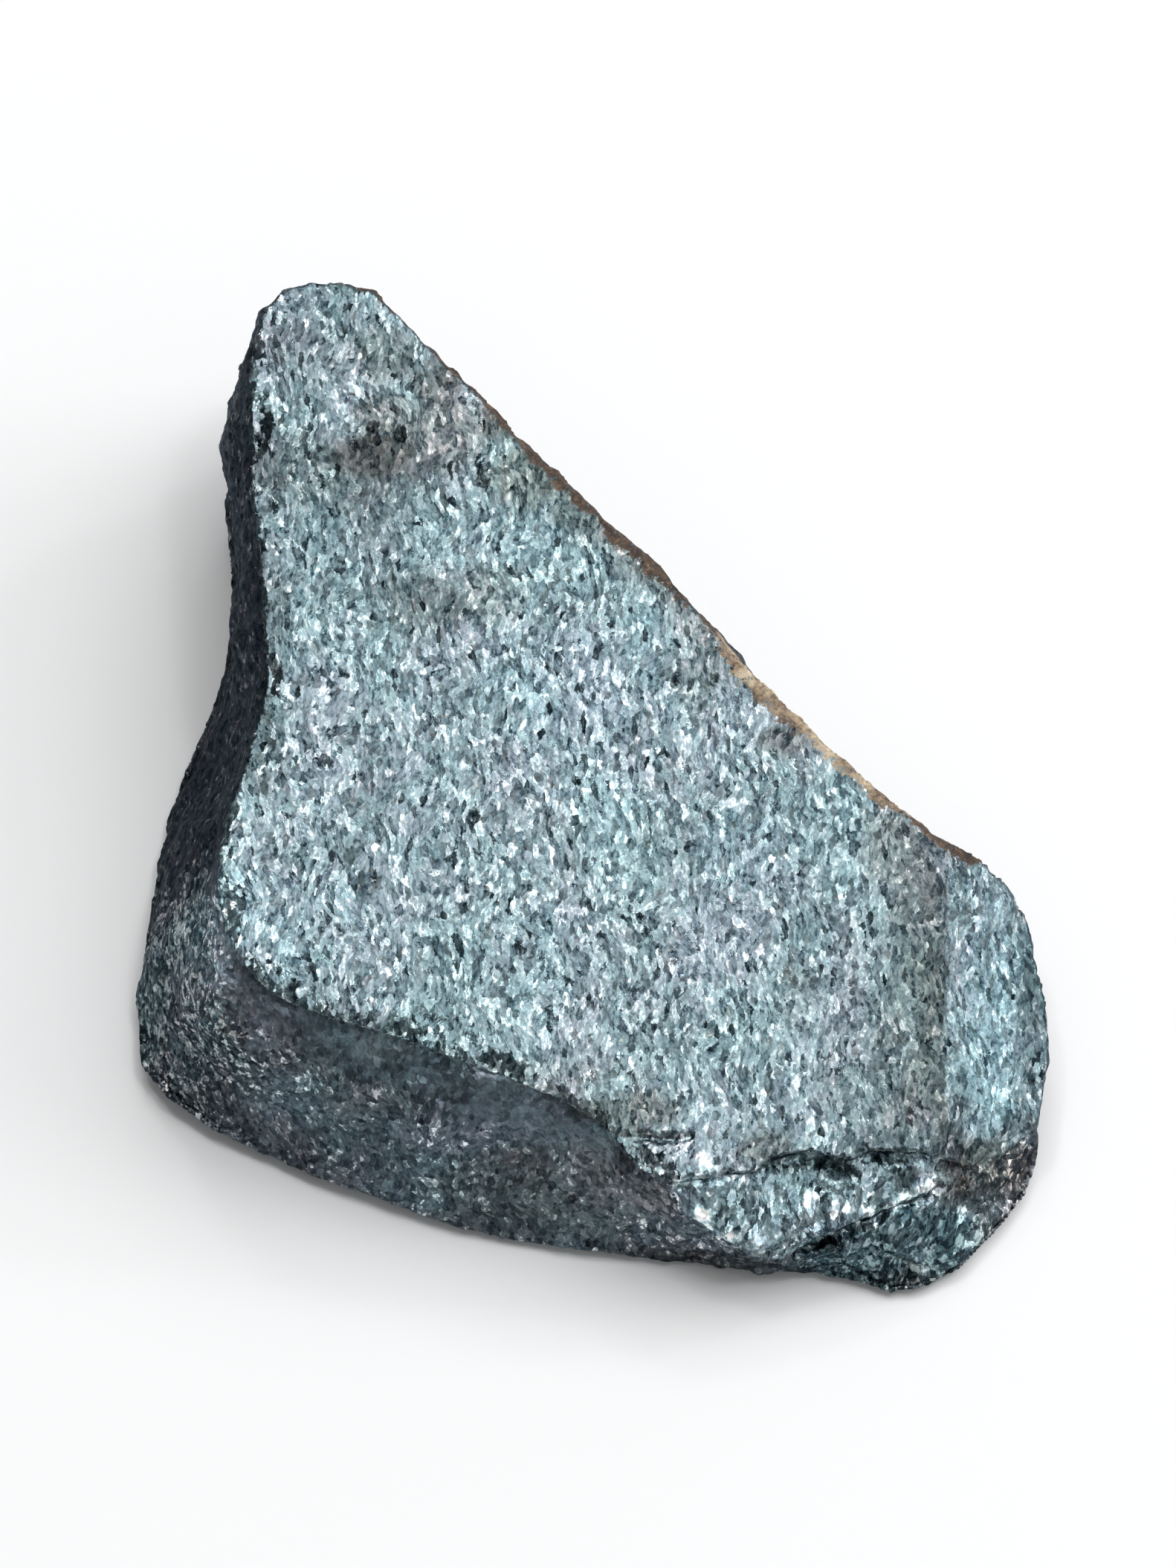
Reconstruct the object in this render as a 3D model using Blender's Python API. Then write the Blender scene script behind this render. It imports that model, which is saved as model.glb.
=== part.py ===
"""Rough hematite: one broken piece, lying on its widest face.

Everything is in metres, +Z up. The piece stands on z = 0 with the middle of
its bounding box over the origin. X runs to the right, Y runs away from the
side where the low ledge is.

The stone is a wedge-shaped chunk. One big cleavage face, nearly flat, forms
the top; it leans down to the front right. Steep fracture walls go round it,
a second small face falls away on the right, a thin plate has split off the
front right corner and left a ledge, and the underside is flat in its middle.
"""
import math

import bmesh
import bpy
import numpy as np

for old in list(bpy.data.objects):
    bpy.data.objects.remove(old, do_unlink=True)

MM = 0.001

# ---------------------------------------------------------------- dimensions
# Driving dimensions, in millimetres. The outline below is given as sight
# readings: positions of edges as seen along lines that come down onto the
# stone at SIGHT_ELEV degrees. READ_MM turns one reading unit into millimetres
# at the stone's middle, so it sets the size of the whole piece.
READ_MM = 0.085
SIGHT_ELEV = 58.0
SIGHT_DIST = 300.0
SIGHT_Z = 4.0

# top cleavage face: z = TOP_Z + TOP_DX * x + TOP_DY * y
TOP_Z = 7.26
TOP_DX = -0.150
TOP_DY = 0.117

RIM_CHAMFER = 0.42    # worn rim along the back right edge
HOLLOW = 0.45         # depth of the shallow hollows in the underside
SEAT = (-2.0, -3.0)   # middle of the flat that it rests on
SEAT_REACH = 4.5      # radius of that flat, which has no hollows
VOXEL = 0.30          # working resolution of the carved body
TARGET_TRIS = 6200    # triangles of the finished solid


def sight_ray(u, v):
    """Eye point and direction of the sight line through the reading (u, v)."""
    e = math.radians(SIGHT_ELEV)
    back = np.array([0.0, -math.cos(e), math.sin(e)])
    up = np.array([0.0, math.sin(e), math.cos(e)])
    eye = np.array([0.0, 0.0, SIGHT_Z]) + SIGHT_DIST * back
    ray = -SIGHT_DIST * back + np.array([u * READ_MM, 0.0, 0.0]) - v * READ_MM * up
    return eye, ray


def at_height(u, v, z):
    """The point of a sight line that is z above the table."""
    eye, ray = sight_ray(u, v)
    return eye + ray * ((z - eye[2]) / ray[2])


def under_top(u, v, drop):
    """The point of a sight line that lies drop below the top face's plane."""
    eye, ray = sight_ray(u, v)
    t = (TOP_Z - drop + TOP_DX * eye[0] + TOP_DY * eye[1] - eye[2]) / (
        ray[2] - TOP_DX * ray[0] - TOP_DY * ray[1]
    )
    return eye + ray * t


# Lower edge of the walls, by station of the outline below: how far it is off
# the table, and how far the underside's flat lies inside it.
UNDERCUT = [
    (0, 1.50, 3.6), (4, 1.30, 3.2), (9, 0.70, 1.6), (13, 0.45, 1.2),
    (17, 0.80, 2.2), (21, 0.95, 2.8), (25, 0.60, 1.9), (29, 0.40, 1.1),
    (34, 0.35, 1.0), (40, 0.45, 1.3), (45, 0.75, 2.0), (49, 0.95, 2.6),
    (54, 0.60, 1.6), (58, 0.90, 2.0),
]

# ------------------------------------------------------------------- outline
# Stations clockwise round the stone, seen from above, from its back left end.
# (u, v) is the crest of the wall, drop how far the crest lies under the plane
# of the top face. The third entry is the wall's foot: a reading where the
# foot is in sight, or ("lean", k) where the wall hides it, which leans the
# wall out by k for each unit of height.
HIDDEN = "lean"
STATIONS = [
    # blunt back end
    ((-137, -197), 0.30, (HIDDEN, 0.05)),
    ((-128, -206), 0.35, (HIDDEN, 0.10)),
    ((-115, -209), 0.40, (HIDDEN, 0.16)),
    ((-101, -209), 0.40, (HIDDEN, 0.22)),
    ((-88, -205), 0.40, (HIDDEN, 0.25)),
    # long straight back right edge, with a worn rim
    ((-73, -192), 0.35, (HIDDEN, 0.22)),
    ((-55, -174), 0.30, (HIDDEN, 0.16)),
    ((-37, -156), 0.30, (HIDDEN, 0.10)),
    ((-19, -136), 0.30, (HIDDEN, 0.08)),
    ((-1, -119), 0.30, (HIDDEN, 0.12)),
    ((17, -103), 0.30, (HIDDEN, 0.20)),
    ((35, -85), 0.35, (HIDDEN, 0.28)),
    ((52, -66), 0.40, (HIDDEN, 0.30)),
    ((70, -47), 0.45, (HIDDEN, 0.26)),
    ((88, -30), 0.45, (HIDDEN, 0.20)),
    ((106, -13), 0.45, (HIDDEN, 0.14)),
    ((125, 4), 0.40, (HIDDEN, 0.10)),
    ((143, 19), 0.35, (HIDDEN, 0.10)),
    # right side: the small face that falls away
    ((158, 28), 0.60, (HIDDEN, 0.08)),
    ((172, 40), 0.90, (HIDDEN, 0.02)),
    ((182, 55), 1.15, (HIDDEN, -0.06)),
    ((187, 73), 1.25, (HIDDEN, -0.10)),
    ((191, 92), 1.35, (HIDDEN, -0.12)),
    ((192, 111), 1.35, (HIDDEN, -0.12)),
    ((189, 129), 1.30, (HIDDEN, -0.05)),
    ((187, 143), 1.35, (HIDDEN, 0.10)),
    # front right corner
    ((173, 154), 1.15, (183, 171)),
    ((157, 158), 0.85, (169, 188)),
    ((145, 163), 0.80, (157, 201)),
    ((131, 172), 0.85, (141, 210)),
    ((117, 179), 0.95, (125, 213)),
    ((100, 186), 1.10, (109, 207)),
    # lip of the split plate
    ((83, 195), 1.35, (90, 203)),
    ((63, 194), 1.30, (67, 201)),
    ((50, 183), 1.05, (50, 200)),
    ((37, 178), 0.74, (35, 199)),
    ((32, 168), 0.34, (20, 197)),
    # front wall
    ((19, 159), 0.10, (3, 195)),
    ((4, 140), 0.00, (-13, 193)),
    ((-16, 129), 0.00, (-30, 190)),
    ((-38, 120), 0.00, (-48, 185)),
    ((-60, 112), 0.00, (-69, 180)),
    ((-82, 104), 0.00, (-92, 171)),
    ((-104, 98), 0.00, (-114, 163)),
    ((-122, 92), 0.00, (-136, 154)),
    # front left corner
    ((-136, 83), 0.00, (-156, 145)),
    ((-147, 70), 0.00, (-176, 131)),
    ((-153, 56), 0.00, (-187, 117)),
    ((-155, 41), 0.00, (-188, 94)),
    # left wall
    ((-154, 26), 0.00, (-186, 78)),
    ((-150, 10), 0.00, (-184, 64)),
    ((-144, -5), 0.00, (-182, 49)),
    ((-139, -21), 0.00, (-179, 34)),
    ((-135, -38), 0.00, (-175, 18)),
    ((-134, -55), 0.00, (-171, 1)),
    ((-135, -73), 0.00, (-164, -16)),
    ((-136, -92), 0.00, (-156, -33)),
    ((-138, -111), 0.00, (-151, -51)),
    ((-140, -130), 0.00, (-149, -69)),
    ((-140, -148), 0.00, (-149, -86)),
    ((-141, -165), 0.05, (-151, -102)),
    ((-141, -181), 0.15, (-152, -117)),
]

# the ledge left by the split plate, from the front edge to the right side
STEP = [(30, 163), (39, 164), (49, 163), (60, 162), (69, 161), (74, 157),
        (81, 154), (91, 152), (100, 155), (110, 156), (118, 152), (129, 153), (141, 153)]
STEP_DROP = [0.12, 0.14, 0.18, 0.22, 0.30, 0.42, 0.54, 0.58, 0.48, 0.42, 0.44, 0.40, 0.42]

# the ridge between the top face and the small right face, back to front
RIDGE = [(144, 38), (146, 60), (147, 85), (147, 115), (147, 138)]


# ------------------------------------------------------------------ the body
def unit2(p):
    return p / max(1e-9, math.hypot(p[0], p[1]))


def wall_normals(points):
    """Level outward directions of a clockwise ring of points."""
    n = len(points)
    out = []
    for i in range(n):
        a, b = points[i - 1], points[(i + 1) % n]
        out.append(unit2(np.array([-(b[1] - a[1]), b[0] - a[0], 0.0])))
    return out


def undercut(i):
    """Rise and tuck of the wall's lower edge at station i."""
    n = len(STATIONS)
    table = UNDERCUT + [(UNDERCUT[0][0] + n, UNDERCUT[0][1], UNDERCUT[0][2])]
    for (i0, r0, t0), (i1, r1, t1) in zip(table, table[1:]):
        if i0 <= i <= i1:
            t = (i - i0) / (i1 - i0)
            t = t * t * (3.0 - 2.0 * t)
            return r0 + (r1 - r0) * t, t0 + (t1 - t0) * t
    return table[0][1:]


def rings():
    """Crest, foot and the rings between, as lists of points in millimetres."""
    crest = [under_top(u, v, drop) for (u, v), drop, _ in STATIONS]
    normals = wall_normals(crest)
    foot, upper, lower, base = [], [], [], []
    n = len(STATIONS)
    for i, ((_, drop, how), c, out) in enumerate(zip(STATIONS, crest, normals)):
        rise = undercut(i)[0] * (1.0 + 0.22 * math.sin(i * 1.37 + 1.0))
        if how[0] == HIDDEN:
            f = c + out * how[1] * (c[2] - rise)
            f[2] = rise
        else:
            f = at_height(how[0], how[1], rise)
        foot.append(f)
    foot_normals = wall_normals(foot)
    for i in range(n):
        c, f, out = crest[i], foot[i], normals[i]
        tall = c[2] - f[2]
        # walls break over once or twice on their way down
        belly = 0.045 * tall * math.sin(i * 0.45 + 0.6) + 0.03 * tall * math.sin(i * 1.27)
        upper.append(c + (f - c) * 0.36 + out * (belly + 0.02 * tall))
        lower.append(c + (f - c) * 0.72 + out * (0.035 * tall * math.sin(i * 0.61 + 2.2)))
        tuck = undercut(i)[1] * (1.0 + 0.16 * math.sin(i * 1.31))
        b = foot[i] - foot_normals[i] * tuck
        b[2] = 0.0
        base.append(b)
    return crest, upper, lower, foot, base


def make_cage():
    """The stone's faces as a closed low polyhedron."""
    crest, upper, lower, foot, base = rings()
    bm = bmesh.new()

    def ring(points):
        return [bm.verts.new(p) for p in points]

    def strip(a, b):
        n = len(a)
        for i in range(n):
            bm.faces.new((a[i], a[(i + 1) % n], b[(i + 1) % n], b[i]))

    v_crest, v_upper, v_lower, v_foot, v_base = map(ring, (crest, upper, lower, foot, base))
    strip(v_crest, v_upper)
    strip(v_upper, v_lower)
    strip(v_lower, v_foot)
    strip(v_foot, v_base)
    bm.faces.new(v_base)

    # worn rim: the crest of the hidden edges sits a little outside the top face
    n = len(STATIONS)
    inner = list(v_crest)
    rim = [i for i in range(n) if 0.0 < STATIONS[i][1] <= 0.5 and i < 18 or i >= n - 2]
    normals = wall_normals(crest)
    for i in rim:
        p = crest[i] - normals[i] * RIM_CHAMFER
        p[2] = TOP_Z + TOP_DX * p[0] + TOP_DY * p[1]
        inner[i] = bm.verts.new(p)

    # the ledge: its upper lip on the top face, its foot on the lower plate
    up = [bm.verts.new(under_top(u, v, 0.0)) for u, v in STEP]
    down = []
    for (u, v), drop in zip(STEP, STEP_DROP):
        p = under_top(u, v, 0.0)
        p[2] -= drop
        down.append(bm.verts.new(p + np.array([0.0, -0.08, 0.0])))
    ridge = [bm.verts.new(under_top(u, v, 0.0)) for u, v in RIDGE]

    for i in range(n):
        j = (i + 1) % n
        if inner[i] is v_crest[i] and inner[j] is v_crest[j]:
            continue
        loop = [v_crest[i]]
        if inner[i] is not v_crest[i]:
            loop.append(inner[i])
        loop.append(inner[j])
        if inner[j] is not v_crest[j]:
            loop.append(v_crest[j])
        bm.faces.new(loop)

    first_lip, last_lip, corner = 37, 28, 17
    # top face: round the crest from the ledge's left end, then back by the ridge
    loop = [inner[i % n] for i in range(first_lip, n + corner + 1)]
    loop += ridge + list(reversed(up))
    bm.faces.new(loop)
    # small right face
    loop = [inner[corner]] + [v_crest[i] for i in range(corner + 1, last_lip + 1)]
    loop += [down[-1], up[-1]] + list(reversed(ridge))
    bm.faces.new(loop)
    # the split plate
    loop = [v_crest[i] for i in range(last_lip, first_lip)]
    loop += down
    bm.faces.new(loop)
    # the ledge's little wall
    for i in range(len(up) - 1):
        bm.faces.new((up[i], up[i + 1], down[i + 1], down[i]))
    bm.faces.new((v_crest[first_lip - 1], v_crest[first_lip], up[0], down[0]))

    bmesh.ops.triangulate(bm, faces=bm.faces[:], quad_method="BEAUTY", ngon_method="BEAUTY")
    bmesh.ops.recalc_face_normals(bm, faces=bm.faces[:])
    mesh = bpy.data.meshes.new("cage")
    bm.to_mesh(mesh)
    bm.free()
    return mesh


# --------------------------------------------------------------- rock relief
def scatter(ix, iy, iz, k):
    """Repeatable numbers from 0 to 1 for whole-number places, k picks a set."""
    h = (
        ix.astype(np.uint32) * np.uint32(374761393)
        + iy.astype(np.uint32) * np.uint32(668265263)
        + iz.astype(np.uint32) * np.uint32(2246822519)
        + np.uint32((k * 3266489917) & 0xFFFFFFFF)
    )
    h ^= h >> np.uint32(15)
    h *= np.uint32(2246822519)
    h ^= h >> np.uint32(13)
    h *= np.uint32(3266489917)
    h ^= h >> np.uint32(16)
    return h.astype(np.float64) / 4294967296.0


def swell(p, size, seed):
    """Smooth noise from -1 to 1 over points p, with lumps of the given size."""
    q = p / size
    cell = np.floor(q).astype(np.int64)
    f = q - cell
    w = f * f * f * (f * (f * 6.0 - 15.0) + 10.0)
    total = np.zeros(len(p))
    for dx in (0, 1):
        for dy in (0, 1):
            for dz in (0, 1):
                c = cell + (dx, dy, dz)
                g = np.stack([scatter(c[:, 0], c[:, 1], c[:, 2], seed * 7 + a) * 2.0 - 1.0
                              for a in range(3)], 1)
                d = f - (dx, dy, dz)
                weight = (
                    (w[:, 0] if dx else 1.0 - w[:, 0])
                    * (w[:, 1] if dy else 1.0 - w[:, 1])
                    * (w[:, 2] if dz else 1.0 - w[:, 2])
                )
                total += weight * (g * d).sum(1)
    return total * 1.6


def scoops(p, size, seed, tilt=0.5):
    """Depth of shallow shell-shaped hollows that meet in sharp ridges, 0 to about 1."""
    q = p / size
    cell = np.floor(q).astype(np.int64)
    best = np.full(len(p), 1e9)
    for dx in (-1, 0, 1):
        for dy in (-1, 0, 1):
            for dz in (-1, 0, 1):
                c = cell + (dx, dy, dz)
                r = [scatter(c[:, 0], c[:, 1], c[:, 2], seed * 11 + a) for a in range(7)]
                d = q - (c + np.stack(r[:3], 1))
                lean = (np.stack(r[3:6], 1) - 0.5) * tilt
                best = np.minimum(best, (d * d).sum(1) * 0.8 + (d * lean).sum(1) * 2.0 + 0.35 * r[6])
    return best


def ease(lo, hi, x):
    t = np.clip((x - lo) / (hi - lo), 0.0, 1.0)
    return t * t * (3.0 - 2.0 * t)


def near_line(p, line, closed):
    """Distance of every point from a line through the given points."""
    best = np.full(len(p), 1e9)
    count = len(line) if closed else len(line) - 1
    for i in range(count):
        a, b = line[i], line[(i + 1) % len(line)]
        ab = b - a
        t = np.clip(((p - a) @ ab) / max(1e-12, ab @ ab), 0.0, 1.0)
        best = np.minimum(best, np.linalg.norm(p - (a + t[:, None] * ab), axis=1))
    return best


def relief(p, normal):
    """How far each point of the plain body moves along its normal, in mm."""
    top = np.array([-TOP_DX, -TOP_DY, 1.0])
    top /= np.linalg.norm(top)
    facing = normal @ top
    wall = 1.0 - ease(0.55, 0.9, facing)           # 0 on the cleavage faces, 1 on the walls
    d = 0.17 * swell(p, 9.0, 3) * (0.6 + 0.4 * wall)
    d += 0.10 * swell(p * (1.0, 0.55, 1.0), 3.6, 5) * (0.5 + 0.5 * wall)
    d += wall * (0.55 * (scoops(p, 4.6, 2) - 0.55) + 0.20 * (scoops(p, 2.1, 4) - 0.55))
    crest = np.array([under_top(u, v, drop) for (u, v), drop, _ in STATIONS])
    edge = near_line(p, crest, True)
    chip = ease(0.05, 0.55, swell(p, 1.5, 8)) * (1.0 - ease(0.25, 0.95, edge))
    worn = near_line(p, crest[38:52], False)       # the rubbed front edge and corner
    round_off = (1.0 - ease(0.0, 0.9, worn)) ** 2
    below = ease(0.25, 0.8, -normal[:, 2])         # 1 where it faces the table
    return (d - 0.22 * chip - 0.16 * round_off) * (1.0 - 0.8 * below)


def carve(obj):
    """Remesh the cage finely, give it the relief, and flatten what it rests on."""
    fine = obj.modifiers.new("body", "REMESH")
    fine.mode = "VOXEL"
    fine.voxel_size = VOXEL * MM
    fine.adaptivity = 0.0
    depsgraph = bpy.context.evaluated_depsgraph_get()
    mesh = bpy.data.meshes.new_from_object(obj.evaluated_get(depsgraph))
    obj.modifiers.clear()
    obj.data = mesh
    n = len(mesh.vertices)
    p = np.empty(n * 3)
    mesh.vertices.foreach_get("co", p)
    p = p.reshape(n, 3) / MM
    normal = np.empty(n * 3)
    mesh.vertices.foreach_get("normal", normal)
    normal = normal.reshape(n, 3)
    under = (p[:, 2] < 0.09) & (normal[:, 2] < -0.8)
    moved = p + normal * relief(p, normal)[:, None]
    moved[:, 2] = np.maximum(moved[:, 2], 0.0)
    # the underside: shallow hollows, and between them the flats it rests on
    out = np.hypot(p[:, 0] - SEAT[0], p[:, 1] - SEAT[1])
    hollow = HOLLOW * ease(0.05, 0.75, swell(p, 6.5, 9)) * ease(SEAT_REACH, SEAT_REACH + 2.5, out)
    moved[under, :2] = p[under, :2]
    moved[under, 2] = hollow[under]
    mesh.vertices.foreach_set("co", (moved * MM).ravel())
    mesh.update()


def finish(obj):
    """Thin the mesh out and stand it with its box's middle over the origin."""
    depsgraph = bpy.context.evaluated_depsgraph_get()
    faces = sum(len(poly.vertices) - 2 for poly in obj.data.polygons)
    thin = obj.modifiers.new("thin", "DECIMATE")
    thin.decimate_type = "COLLAPSE"
    thin.ratio = TARGET_TRIS / faces
    thin.use_collapse_triangulate = True
    depsgraph = bpy.context.evaluated_depsgraph_get()
    mesh = bpy.data.meshes.new_from_object(obj.evaluated_get(depsgraph))
    obj.modifiers.clear()
    obj.data = mesh
    bm = bmesh.new()
    bm.from_mesh(mesh)
    bmesh.ops.triangulate(bm, faces=bm.faces[:])
    for v in bm.verts:
        if v.co.z < 0.00004:
            v.co.z = 0.0
    bmesh.ops.recalc_face_normals(bm, faces=bm.faces[:])
    xs = [v.co.x for v in bm.verts]
    ys = [v.co.y for v in bm.verts]
    middle = ((min(xs) + max(xs)) / 2.0, (min(ys) + max(ys)) / 2.0)
    for v in bm.verts:
        v.co.x -= middle[0]
        v.co.y -= middle[1]
    bm.to_mesh(mesh)
    bm.free()
    mesh.name = "stone"


def hematite():
    """Steel grey, metallic, made of fine glittering flakes."""
    mat = bpy.data.materials.new("hematite")
    mat.use_nodes = True
    shader = mat.node_tree.nodes["Principled BSDF"]
    shader.inputs["Base Color"].default_value = (0.19, 0.23, 0.25, 1.0)
    shader.inputs["Metallic"].default_value = 0.9
    shader.inputs["Roughness"].default_value = 0.42
    return mat


cage = make_cage()
for v in cage.vertices:
    v.co *= MM
stone = bpy.data.objects.new("stone", cage)
bpy.context.collection.objects.link(stone)
carve(stone)
finish(stone)
stone.data.materials.clear()
stone.data.materials.append(hematite())
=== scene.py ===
"""Looks of the rough hematite: its fine broken surface, its materials, and a plain studio."""
import math

import bmesh
import bpy
import numpy as np
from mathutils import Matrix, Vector
from mathutils.bvhtree import BVHTree


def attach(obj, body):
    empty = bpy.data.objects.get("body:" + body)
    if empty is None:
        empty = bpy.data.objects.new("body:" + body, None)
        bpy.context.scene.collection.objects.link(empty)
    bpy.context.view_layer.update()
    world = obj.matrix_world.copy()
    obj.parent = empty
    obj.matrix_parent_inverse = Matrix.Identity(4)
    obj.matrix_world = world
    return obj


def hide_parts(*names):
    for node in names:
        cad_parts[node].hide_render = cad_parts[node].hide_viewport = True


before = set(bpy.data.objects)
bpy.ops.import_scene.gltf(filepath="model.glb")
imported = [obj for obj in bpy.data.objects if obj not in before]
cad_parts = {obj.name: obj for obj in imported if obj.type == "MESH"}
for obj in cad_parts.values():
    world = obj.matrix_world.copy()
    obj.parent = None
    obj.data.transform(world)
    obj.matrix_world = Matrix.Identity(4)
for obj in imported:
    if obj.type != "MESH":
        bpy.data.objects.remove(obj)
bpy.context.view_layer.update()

MM = 0.001

# ---------------------------------------------------------------- dimensions
# Driving dimensions, in millimetres. The outline below is given as sight
# readings: positions of edges as seen along lines that come down onto the
# stone at SIGHT_ELEV degrees. READ_MM turns one reading unit into millimetres
# at the stone's middle, so it sets the size of the whole piece.
READ_MM = 0.085
SIGHT_ELEV = 58.0
SIGHT_DIST = 300.0
SIGHT_Z = 4.0

# top cleavage face: z = TOP_Z + TOP_DX * x + TOP_DY * y
TOP_Z = 7.26
TOP_DX = -0.150
TOP_DY = 0.117

RIM_CHAMFER = 0.42    # worn rim along the back right edge
HOLLOW = 0.45         # depth of the shallow hollows in the underside
SEAT = (-2.0, -3.0)   # middle of the flat that it rests on
SEAT_REACH = 4.5      # radius of that flat, which has no hollows


def sight_ray(u, v):
    """Eye point and direction of the sight line through the reading (u, v)."""
    e = math.radians(SIGHT_ELEV)
    back = np.array([0.0, -math.cos(e), math.sin(e)])
    up = np.array([0.0, math.sin(e), math.cos(e)])
    eye = np.array([0.0, 0.0, SIGHT_Z]) + SIGHT_DIST * back
    ray = -SIGHT_DIST * back + np.array([u * READ_MM, 0.0, 0.0]) - v * READ_MM * up
    return eye, ray


def at_height(u, v, z):
    """The point of a sight line that is z above the table."""
    eye, ray = sight_ray(u, v)
    return eye + ray * ((z - eye[2]) / ray[2])


def under_top(u, v, drop):
    """The point of a sight line that lies drop below the top face's plane."""
    eye, ray = sight_ray(u, v)
    t = (TOP_Z - drop + TOP_DX * eye[0] + TOP_DY * eye[1] - eye[2]) / (
        ray[2] - TOP_DX * ray[0] - TOP_DY * ray[1]
    )
    return eye + ray * t


# Lower edge of the walls, by station of the outline below: how far it is off
# the table, and how far the underside's flat lies inside it.
UNDERCUT = [
    (0, 1.50, 3.6), (4, 1.30, 3.2), (9, 0.70, 1.6), (13, 0.45, 1.2),
    (17, 0.80, 2.2), (21, 0.95, 2.8), (25, 0.60, 1.9), (29, 0.40, 1.1),
    (34, 0.35, 1.0), (40, 0.45, 1.3), (45, 0.75, 2.0), (49, 0.95, 2.6),
    (54, 0.60, 1.6), (58, 0.90, 2.0),
]

# ------------------------------------------------------------------- outline
# Stations clockwise round the stone, seen from above, from its back left end.
# (u, v) is the crest of the wall, drop how far the crest lies under the plane
# of the top face. The third entry is the wall's foot: a reading where the
# foot is in sight, or ("lean", k) where the wall hides it, which leans the
# wall out by k for each unit of height.
HIDDEN = "lean"
STATIONS = [
    # blunt back end
    ((-137, -197), 0.30, (HIDDEN, 0.05)),
    ((-128, -206), 0.35, (HIDDEN, 0.10)),
    ((-115, -209), 0.40, (HIDDEN, 0.16)),
    ((-101, -209), 0.40, (HIDDEN, 0.22)),
    ((-88, -205), 0.40, (HIDDEN, 0.25)),
    # long straight back right edge, with a worn rim
    ((-73, -192), 0.35, (HIDDEN, 0.22)),
    ((-55, -174), 0.30, (HIDDEN, 0.16)),
    ((-37, -156), 0.30, (HIDDEN, 0.10)),
    ((-19, -136), 0.30, (HIDDEN, 0.08)),
    ((-1, -119), 0.30, (HIDDEN, 0.12)),
    ((17, -103), 0.30, (HIDDEN, 0.20)),
    ((35, -85), 0.35, (HIDDEN, 0.28)),
    ((52, -66), 0.40, (HIDDEN, 0.30)),
    ((70, -47), 0.45, (HIDDEN, 0.26)),
    ((88, -30), 0.45, (HIDDEN, 0.20)),
    ((106, -13), 0.45, (HIDDEN, 0.14)),
    ((125, 4), 0.40, (HIDDEN, 0.10)),
    ((143, 19), 0.35, (HIDDEN, 0.10)),
    # right side: the small face that falls away
    ((158, 28), 0.60, (HIDDEN, 0.08)),
    ((172, 40), 0.90, (HIDDEN, 0.02)),
    ((182, 55), 1.15, (HIDDEN, -0.06)),
    ((187, 73), 1.25, (HIDDEN, -0.10)),
    ((191, 92), 1.35, (HIDDEN, -0.12)),
    ((192, 111), 1.35, (HIDDEN, -0.12)),
    ((189, 129), 1.30, (HIDDEN, -0.05)),
    ((187, 143), 1.35, (HIDDEN, 0.10)),
    # front right corner
    ((173, 154), 1.15, (183, 171)),
    ((157, 158), 0.85, (169, 188)),
    ((145, 163), 0.80, (157, 201)),
    ((131, 172), 0.85, (141, 210)),
    ((117, 179), 0.95, (125, 213)),
    ((100, 186), 1.10, (109, 207)),
    # lip of the split plate
    ((83, 195), 1.35, (90, 203)),
    ((63, 194), 1.30, (67, 201)),
    ((50, 183), 1.05, (50, 200)),
    ((37, 178), 0.74, (35, 199)),
    ((32, 168), 0.34, (20, 197)),
    # front wall
    ((19, 159), 0.10, (3, 195)),
    ((4, 140), 0.00, (-13, 193)),
    ((-16, 129), 0.00, (-30, 190)),
    ((-38, 120), 0.00, (-48, 185)),
    ((-60, 112), 0.00, (-69, 180)),
    ((-82, 104), 0.00, (-92, 171)),
    ((-104, 98), 0.00, (-114, 163)),
    ((-122, 92), 0.00, (-136, 154)),
    # front left corner
    ((-136, 83), 0.00, (-156, 145)),
    ((-147, 70), 0.00, (-176, 131)),
    ((-153, 56), 0.00, (-187, 117)),
    ((-155, 41), 0.00, (-188, 94)),
    # left wall
    ((-154, 26), 0.00, (-186, 78)),
    ((-150, 10), 0.00, (-184, 64)),
    ((-144, -5), 0.00, (-182, 49)),
    ((-139, -21), 0.00, (-179, 34)),
    ((-135, -38), 0.00, (-175, 18)),
    ((-134, -55), 0.00, (-171, 1)),
    ((-135, -73), 0.00, (-164, -16)),
    ((-136, -92), 0.00, (-156, -33)),
    ((-138, -111), 0.00, (-151, -51)),
    ((-140, -130), 0.00, (-149, -69)),
    ((-140, -148), 0.00, (-149, -86)),
    ((-141, -165), 0.05, (-151, -102)),
    ((-141, -181), 0.15, (-152, -117)),
]

# the ledge left by the split plate, from the front edge to the right side
STEP = [(30, 163), (39, 164), (49, 163), (60, 162), (69, 161), (74, 157),
        (81, 154), (91, 152), (100, 155), (110, 156), (118, 152), (129, 153), (141, 153)]
STEP_DROP = [0.12, 0.14, 0.18, 0.22, 0.30, 0.42, 0.54, 0.58, 0.48, 0.42, 0.44, 0.40, 0.42]

# the ridge between the top face and the small right face, back to front
RIDGE = [(144, 38), (146, 60), (147, 85), (147, 115), (147, 138)]


# ------------------------------------------------------------------ the body
def unit2(p):
    return p / max(1e-9, math.hypot(p[0], p[1]))


def wall_normals(points):
    """Level outward directions of a clockwise ring of points."""
    n = len(points)
    out = []
    for i in range(n):
        a, b = points[i - 1], points[(i + 1) % n]
        out.append(unit2(np.array([-(b[1] - a[1]), b[0] - a[0], 0.0])))
    return out


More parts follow.
